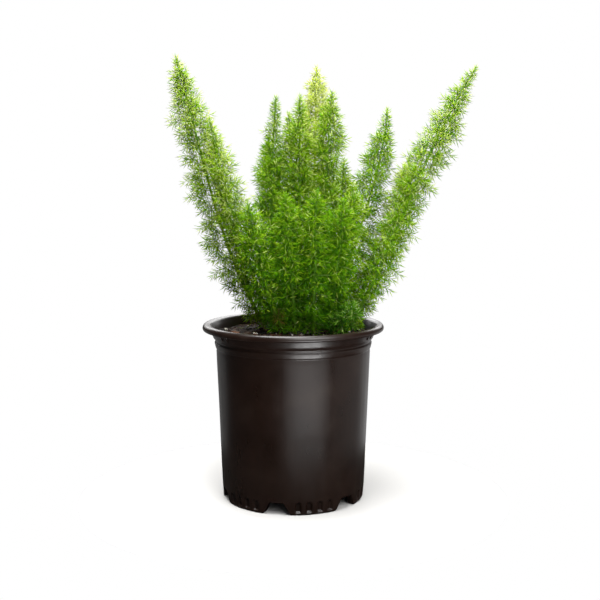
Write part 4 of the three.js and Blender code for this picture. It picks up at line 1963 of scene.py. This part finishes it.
def stalks(
    line: tuple[Array, Array],
    radii: Array,
    share: Array,
    sides: int,
    swatch: Array,
) -> Skin:
    """The skin of tubes that wear the foliage's finish.

    Args:
        line: Their centre lines and unit directions, each (tubes, stations, 3).
        radii: Their radii (tubes, stations).
        share: Shares (stations) of their length.
        sides: Points in each ring.
        swatch: Places (tubes, 1) on the colour scale.

    Returns:
        The skin, with the values swatch, along and turn.
    """
    points, faces = tubes(*line, radii, sides)
    start, end = 0.3, 0.9  # the part of a needle's length that they are coloured like
    along = by_ring(lerp(start, end, share), sides, (start, end))
    turn = np.append(np.tile(np.linspace(0, 1, sides), len(share)), [0.5, 0.5])[None]
    return repeated(points, [faces], swatch=swatch, along=along, turn=turn)


def within_spread(points: Array) -> Array:
    """Whether points lie inside the plant's full width and depth, measured from the pot's axis."""
    inside = (points[:, :2] > SPREAD[0]) & (points[:, :2] < SPREAD[1])
    return inside.all(axis=1)


def foliage_piece(
    name: str, skins: list[Skin], slot: Slot, replaced: tuple[str, ...] = ()
) -> bpy.types.Object:
    """Makes a piece of foliage, with a map that has a column to each swatch.

    Needles of one colour share a column, and height is that along the needle, so a texture
    of any size holds their exact colours.

    Args:
        name: Name of the piece.
        skins: Its skins, with the values swatch, along and turn.
        slot: The record's slot that the piece takes its finish from.
        replaced: The CAD nodes that it stands for.

    Returns:
        The mesh object.
    """
    for skin in skins:
        column = np.floor(skin.values["swatch"] * Cladodes.SWATCHES)
        skin.values["swatch"] = (column + 0.5) / Cladodes.SWATCHES
    piece = mesh_piece(name, skins, NEEDLES[slot], replaced)
    mesh = piece.data
    value = {key: np.empty(len(mesh.vertices), dtype=np.float32) for key in MAPPED}
    for key, held in value.items():
        mesh.attributes[key].data.foreach_get("value", held)
    side_gap, end_gap = 0.1, 0.02  # shares of a column and of the map's height
    column = np.floor(value["swatch"] * Cladodes.SWATCHES)
    across = column + side_gap + (1 - 2 * side_gap) * value["turn"]
    up = end_gap + (1 - 2 * end_gap) * value["along"]
    spot = np.stack([across / Cladodes.SWATCHES, up], axis=-1).astype(np.float32)
    corner = np.empty(len(mesh.loops), dtype=np.int32)
    mesh.loops.foreach_get("vertex_index", corner)
    mesh.uv_layers.new(name="OFBake").data.foreach_set("uv", spot[corner].ravel())
    mesh.attributes.remove(mesh.attributes["turn"])
    return piece


@dataclass(frozen=True)
class FallenNeedles:
    """Dry and green needles that have dropped on the soil.

    Attributes are sizes in millimetres, angles in degrees, counts and shares.
    """

    count: int = 170
    reach: float = 65.0  # of their feet from the pot's axis
    tip_reach: float = 67.0
    slopes: Pair = (-6.0, 14.0)
    raised: float = 0.5
    lengths: Pair = (5.0, 9.0)
    width: float = 0.6
    browned: float = 0.85
    green: float = 0.5  # place on the colour scale
    seed: int = 77

    def build(self, bed: PottingBed) -> bpy.types.Object:
        """Makes the fallen needles' piece.

        Args:
            bed: The soil that they lie on.

        Returns:
            The mesh object.
        """
        rng = np.random.default_rng(self.seed)
        x, y, yaw = strewn(rng, self.reach, self.count, 1)
        slope = np.radians(rng.uniform(*self.slopes, self.count))
        feet = np.stack([x, y, bed.surface(x, y) + self.raised], axis=-1)
        lengths = rng.uniform(*self.lengths, self.count)
        dried = Cladodes.dried(rng.random(self.count))
        swatches = np.where(rng.random(self.count) < self.browned, dried, self.green)
        directions = swung(level_direction(yaw), UP, slope)
        needles = Needles(feet, directions, lengths, self.width, swatches)
        inside = np.hypot(*needles.places(1.0)[:, :2].T) < self.tip_reach
        return foliage_piece("fallen_needles", [needles.chosen(inside).skin(rng)], Slot.GREEN)


# ------------------------------------------------------------------ studio


@dataclass(frozen=True)
class Softbox:
    """A rectangular softbox. Lengths in millimetres from the pot's axis.

    Attributes:
        name: Name of the light.
        place: Its middle.
        aim: The place that it faces.
        size: Width and height.
        power: Power in watts.
    """

    name: str
    place: Triple
    aim: Triple
    size: Pair
    power: float

    def build(self) -> None:
        """Makes the light, which the camera doesn't see."""
        data = bpy.data.lights.new(self.name, "AREA")
        data.shape = "RECTANGLE"
        data.size, data.size_y = (side * MM for side in self.size)
        data.energy = self.power
        light = bpy.data.objects.new(self.name, data)
        light.location = in_frame(self.place)
        towards = Vector(in_frame(self.aim)) - Vector(in_frame(self.place))
        light.rotation_euler = towards.to_track_quat("-Z", "Y").to_euler()
        light.visible_camera = False
        bpy.context.scene.collection.objects.link(light)


SOFTBOXES = (
    Softbox("ceiling", (-150, -200, 1700), (0, 0, 200), (1100, 1100), 52.0),
    Softbox("key", (640, -1300, 1250), (0, 0, 150), (1300, 1300), 35.0),
    Softbox("front_strip", (650, -1680, -350), (0, 0, 60), (2000, 1700), 12.0),
    Softbox("low_card", (288, -648, -406), (0, 0, 148), (520, 230), 4.6),
    Softbox("side_fill", (1500, -50, -100), (0, 0, 80), (1400, 900), 1.4),
    Softbox("backdrop", (0, 1700, 1050), (0, 0, 200), (2600, 1000), 36.0),
    Softbox("right_bank", (1000, 1300, -250), (0, 0, 80), (1400, 800), 2.1),
    Softbox("left_bank", (-1000, 1300, -250), (0, 0, 80), (1400, 800), 0.8),
)


@dataclass(frozen=True)
class Studio:
    """Floor, soft light and camera. Lengths in millimetres from the pot's axis."""

    camera_place: Triple = (6.18, -900.0, 286.6)
    camera_pitch: float = 6.72  # degrees below the level
    camera_lens: float = 59.87
    camera_sensor: float = 36.0
    clip: Pair = (0.01, 100.0)  # metres
    floor_radius: float = 195.0
    floor_sides: int = 96
    room_light: float = 0.05

    def camera(self) -> None:
        """Makes the camera and chooses it."""
        data = bpy.data.cameras.new("camera")
        data.lens = self.camera_lens
        data.sensor_width = self.camera_sensor
        data.clip_start, data.clip_end = self.clip
        camera = bpy.data.objects.new("camera", data)
        camera.location = in_frame(self.camera_place)
        camera.rotation_euler = (math.radians(90 - self.camera_pitch), 0.0, 0.0)
        bpy.context.scene.collection.objects.link(camera)
        bpy.context.scene.camera = camera

    def floor(self) -> None:
        """Makes the round, level floor."""
        circle = level_direction(even_angles(self.floor_sides))
        points = circle * self.floor_radius * MM + AXIS
        mesh = bpy.data.meshes.new("floor")
        mesh.from_pydata(points.tolist(), [], [list(range(len(points)))])
        mesh.materials.append(PaperSweep().material())
        floor = bpy.data.objects.new("floor", mesh)
        bpy.context.scene.collection.objects.link(floor)

    def world(self) -> None:
        """A white background for the eye, and a dimmer white room for light and reflections."""
        world = bpy.data.worlds.new("white_room")
        world.use_nodes = True
        tree = world.node_tree
        tree.nodes.clear()
        seen = add_node(tree, "ShaderNodeLightPath").outputs["Is Camera Ray"]
        room, paper = (
            add_node(tree, "ShaderNodeBackground", {"Color": linear("#ffffff"), "Strength": light})
            for light in (self.room_light, 1.0)
        )
        both = NodeKit(tree).mix(seen, room.outputs["Background"], paper.outputs["Background"])
        add_node(tree, "ShaderNodeOutputWorld", {"Surface": both})
        bpy.context.scene.world = world

    def build(self) -> None:
        """Makes the whole studio."""
        self.camera()
        self.floor()
        self.world()
        for softbox in SOFTBOXES:
            softbox.build()
        view = bpy.context.scene.view_settings
        view.view_transform = "Standard"
        view.look = "None"


# ------------------------------------------------------------------ the whole plant

# shade is partly painted light: the front plumes get low values as painted shade of the dense front
# mass, and the outer ones high values as painted light, over each plume's own tone
PLUMES = (
    Plume(
        "plume_outer_left", (-25, 16), 178, (31, 15.5, 16), 261, 24, shade=0.14, dry=0.45, habit=AIRY
    ),
    Plume("plume_inner_left", (-16, -2), 186, (23, 17, 11), 199, 20, shade=0.15, taper=0.3),
    Plume("plume_front_left", (-8, -20), 215, (30, 16, 14), 122, 19, shade=-0.1, dry=0.25),
    Plume("plume_centre_left", (-5, 14), 165, (18, 1, -4), 211, 23, taper=0.45),
    Plume("plume_centre_tall", (6, 4), 90, (3, 2, 2), 210, 17, shade=0.04),
    Plume("plume_centre_short", (2, 26), 110, (2, 6, 4), 199, 17, shade=0.08),
    Plume("plume_centre_right", (25, 14), 30, (3, 2.5, 6), 216, 20, shade=0.03),
    Plume("plume_back_middle", (16, 42), 74, (6, 5, 4), 244, 23, Slot.PALE, shade=0.28),
    Plume("plume_back_left", (-10, 40), 112, (16, 12, 8), 184, 20),
    Plume("plume_back_right", (34, 42), 66, (18, 13, 8), 162, 18),
    Plume("plume_right", (36, 20), 12, (10, 18, 4), 209, 22, taper=0.28, habit=AIRY),
    Plume("plume_inner_right", (36, -2), 350, (7, 10, -3), 135, 16),
    Plume(
        "plume_outer_right", (50, 4), 2, (29, 23, 32), 263, 22, shade=0.1, taper=0.27, habit=AIRY
    ),
    Plume("plume_low_right", (48, 24), 12, (24, 25, 3), 170, 19, shade=0.26),
    Plume("plume_front_centre", (2, -22), 255, (8, 17, 10), 129, 18, shade=-0.14),
    Plume("plume_front_middle", (18, -26), 275, (6, 13, 8), 130, 18, shade=-0.14),
    Plume("plume_front_right", (33, -18), 300, (6, 12, 8), 122, 18, shade=-0.14),
    Plume("young_shoot", (34, -34), 340, (42, 34, 26), 37, 14, Slot.YOUNG, shade=0.02),
)

LITTER = (
    Scatter("bark_chips", 300, (2.5, 9.0), (0.45, 0.8), (0.18, 0.4), 28, 0.22, PineBark(), 31),
    Scatter(
        "perlite_grains", 60, (1.2, 3.0), (0.75, 1.0), (0.6, 0.9), 60, 0.25, ExpandedPerlite(), 32
    ),
)


def main() -> None:
    """Builds every piece in order."""
    logging.basicConfig(level=logging.INFO, format="%(name)s: %(message)s")
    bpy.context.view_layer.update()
    pot = NurseryPot()
    bed = PottingBed(pot)
    Studio().build()
    pot.build()
    bed.build()
    for scatter in LITTER:
        scatter.build(bed)
    FallenNeedles().build(bed)
    CutStem().build(bed)
    for number, plume in enumerate(PLUMES):
        plume.build(bed, FIRST_SEED + number)
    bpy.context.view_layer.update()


if __name__ == "__main__":
    main()
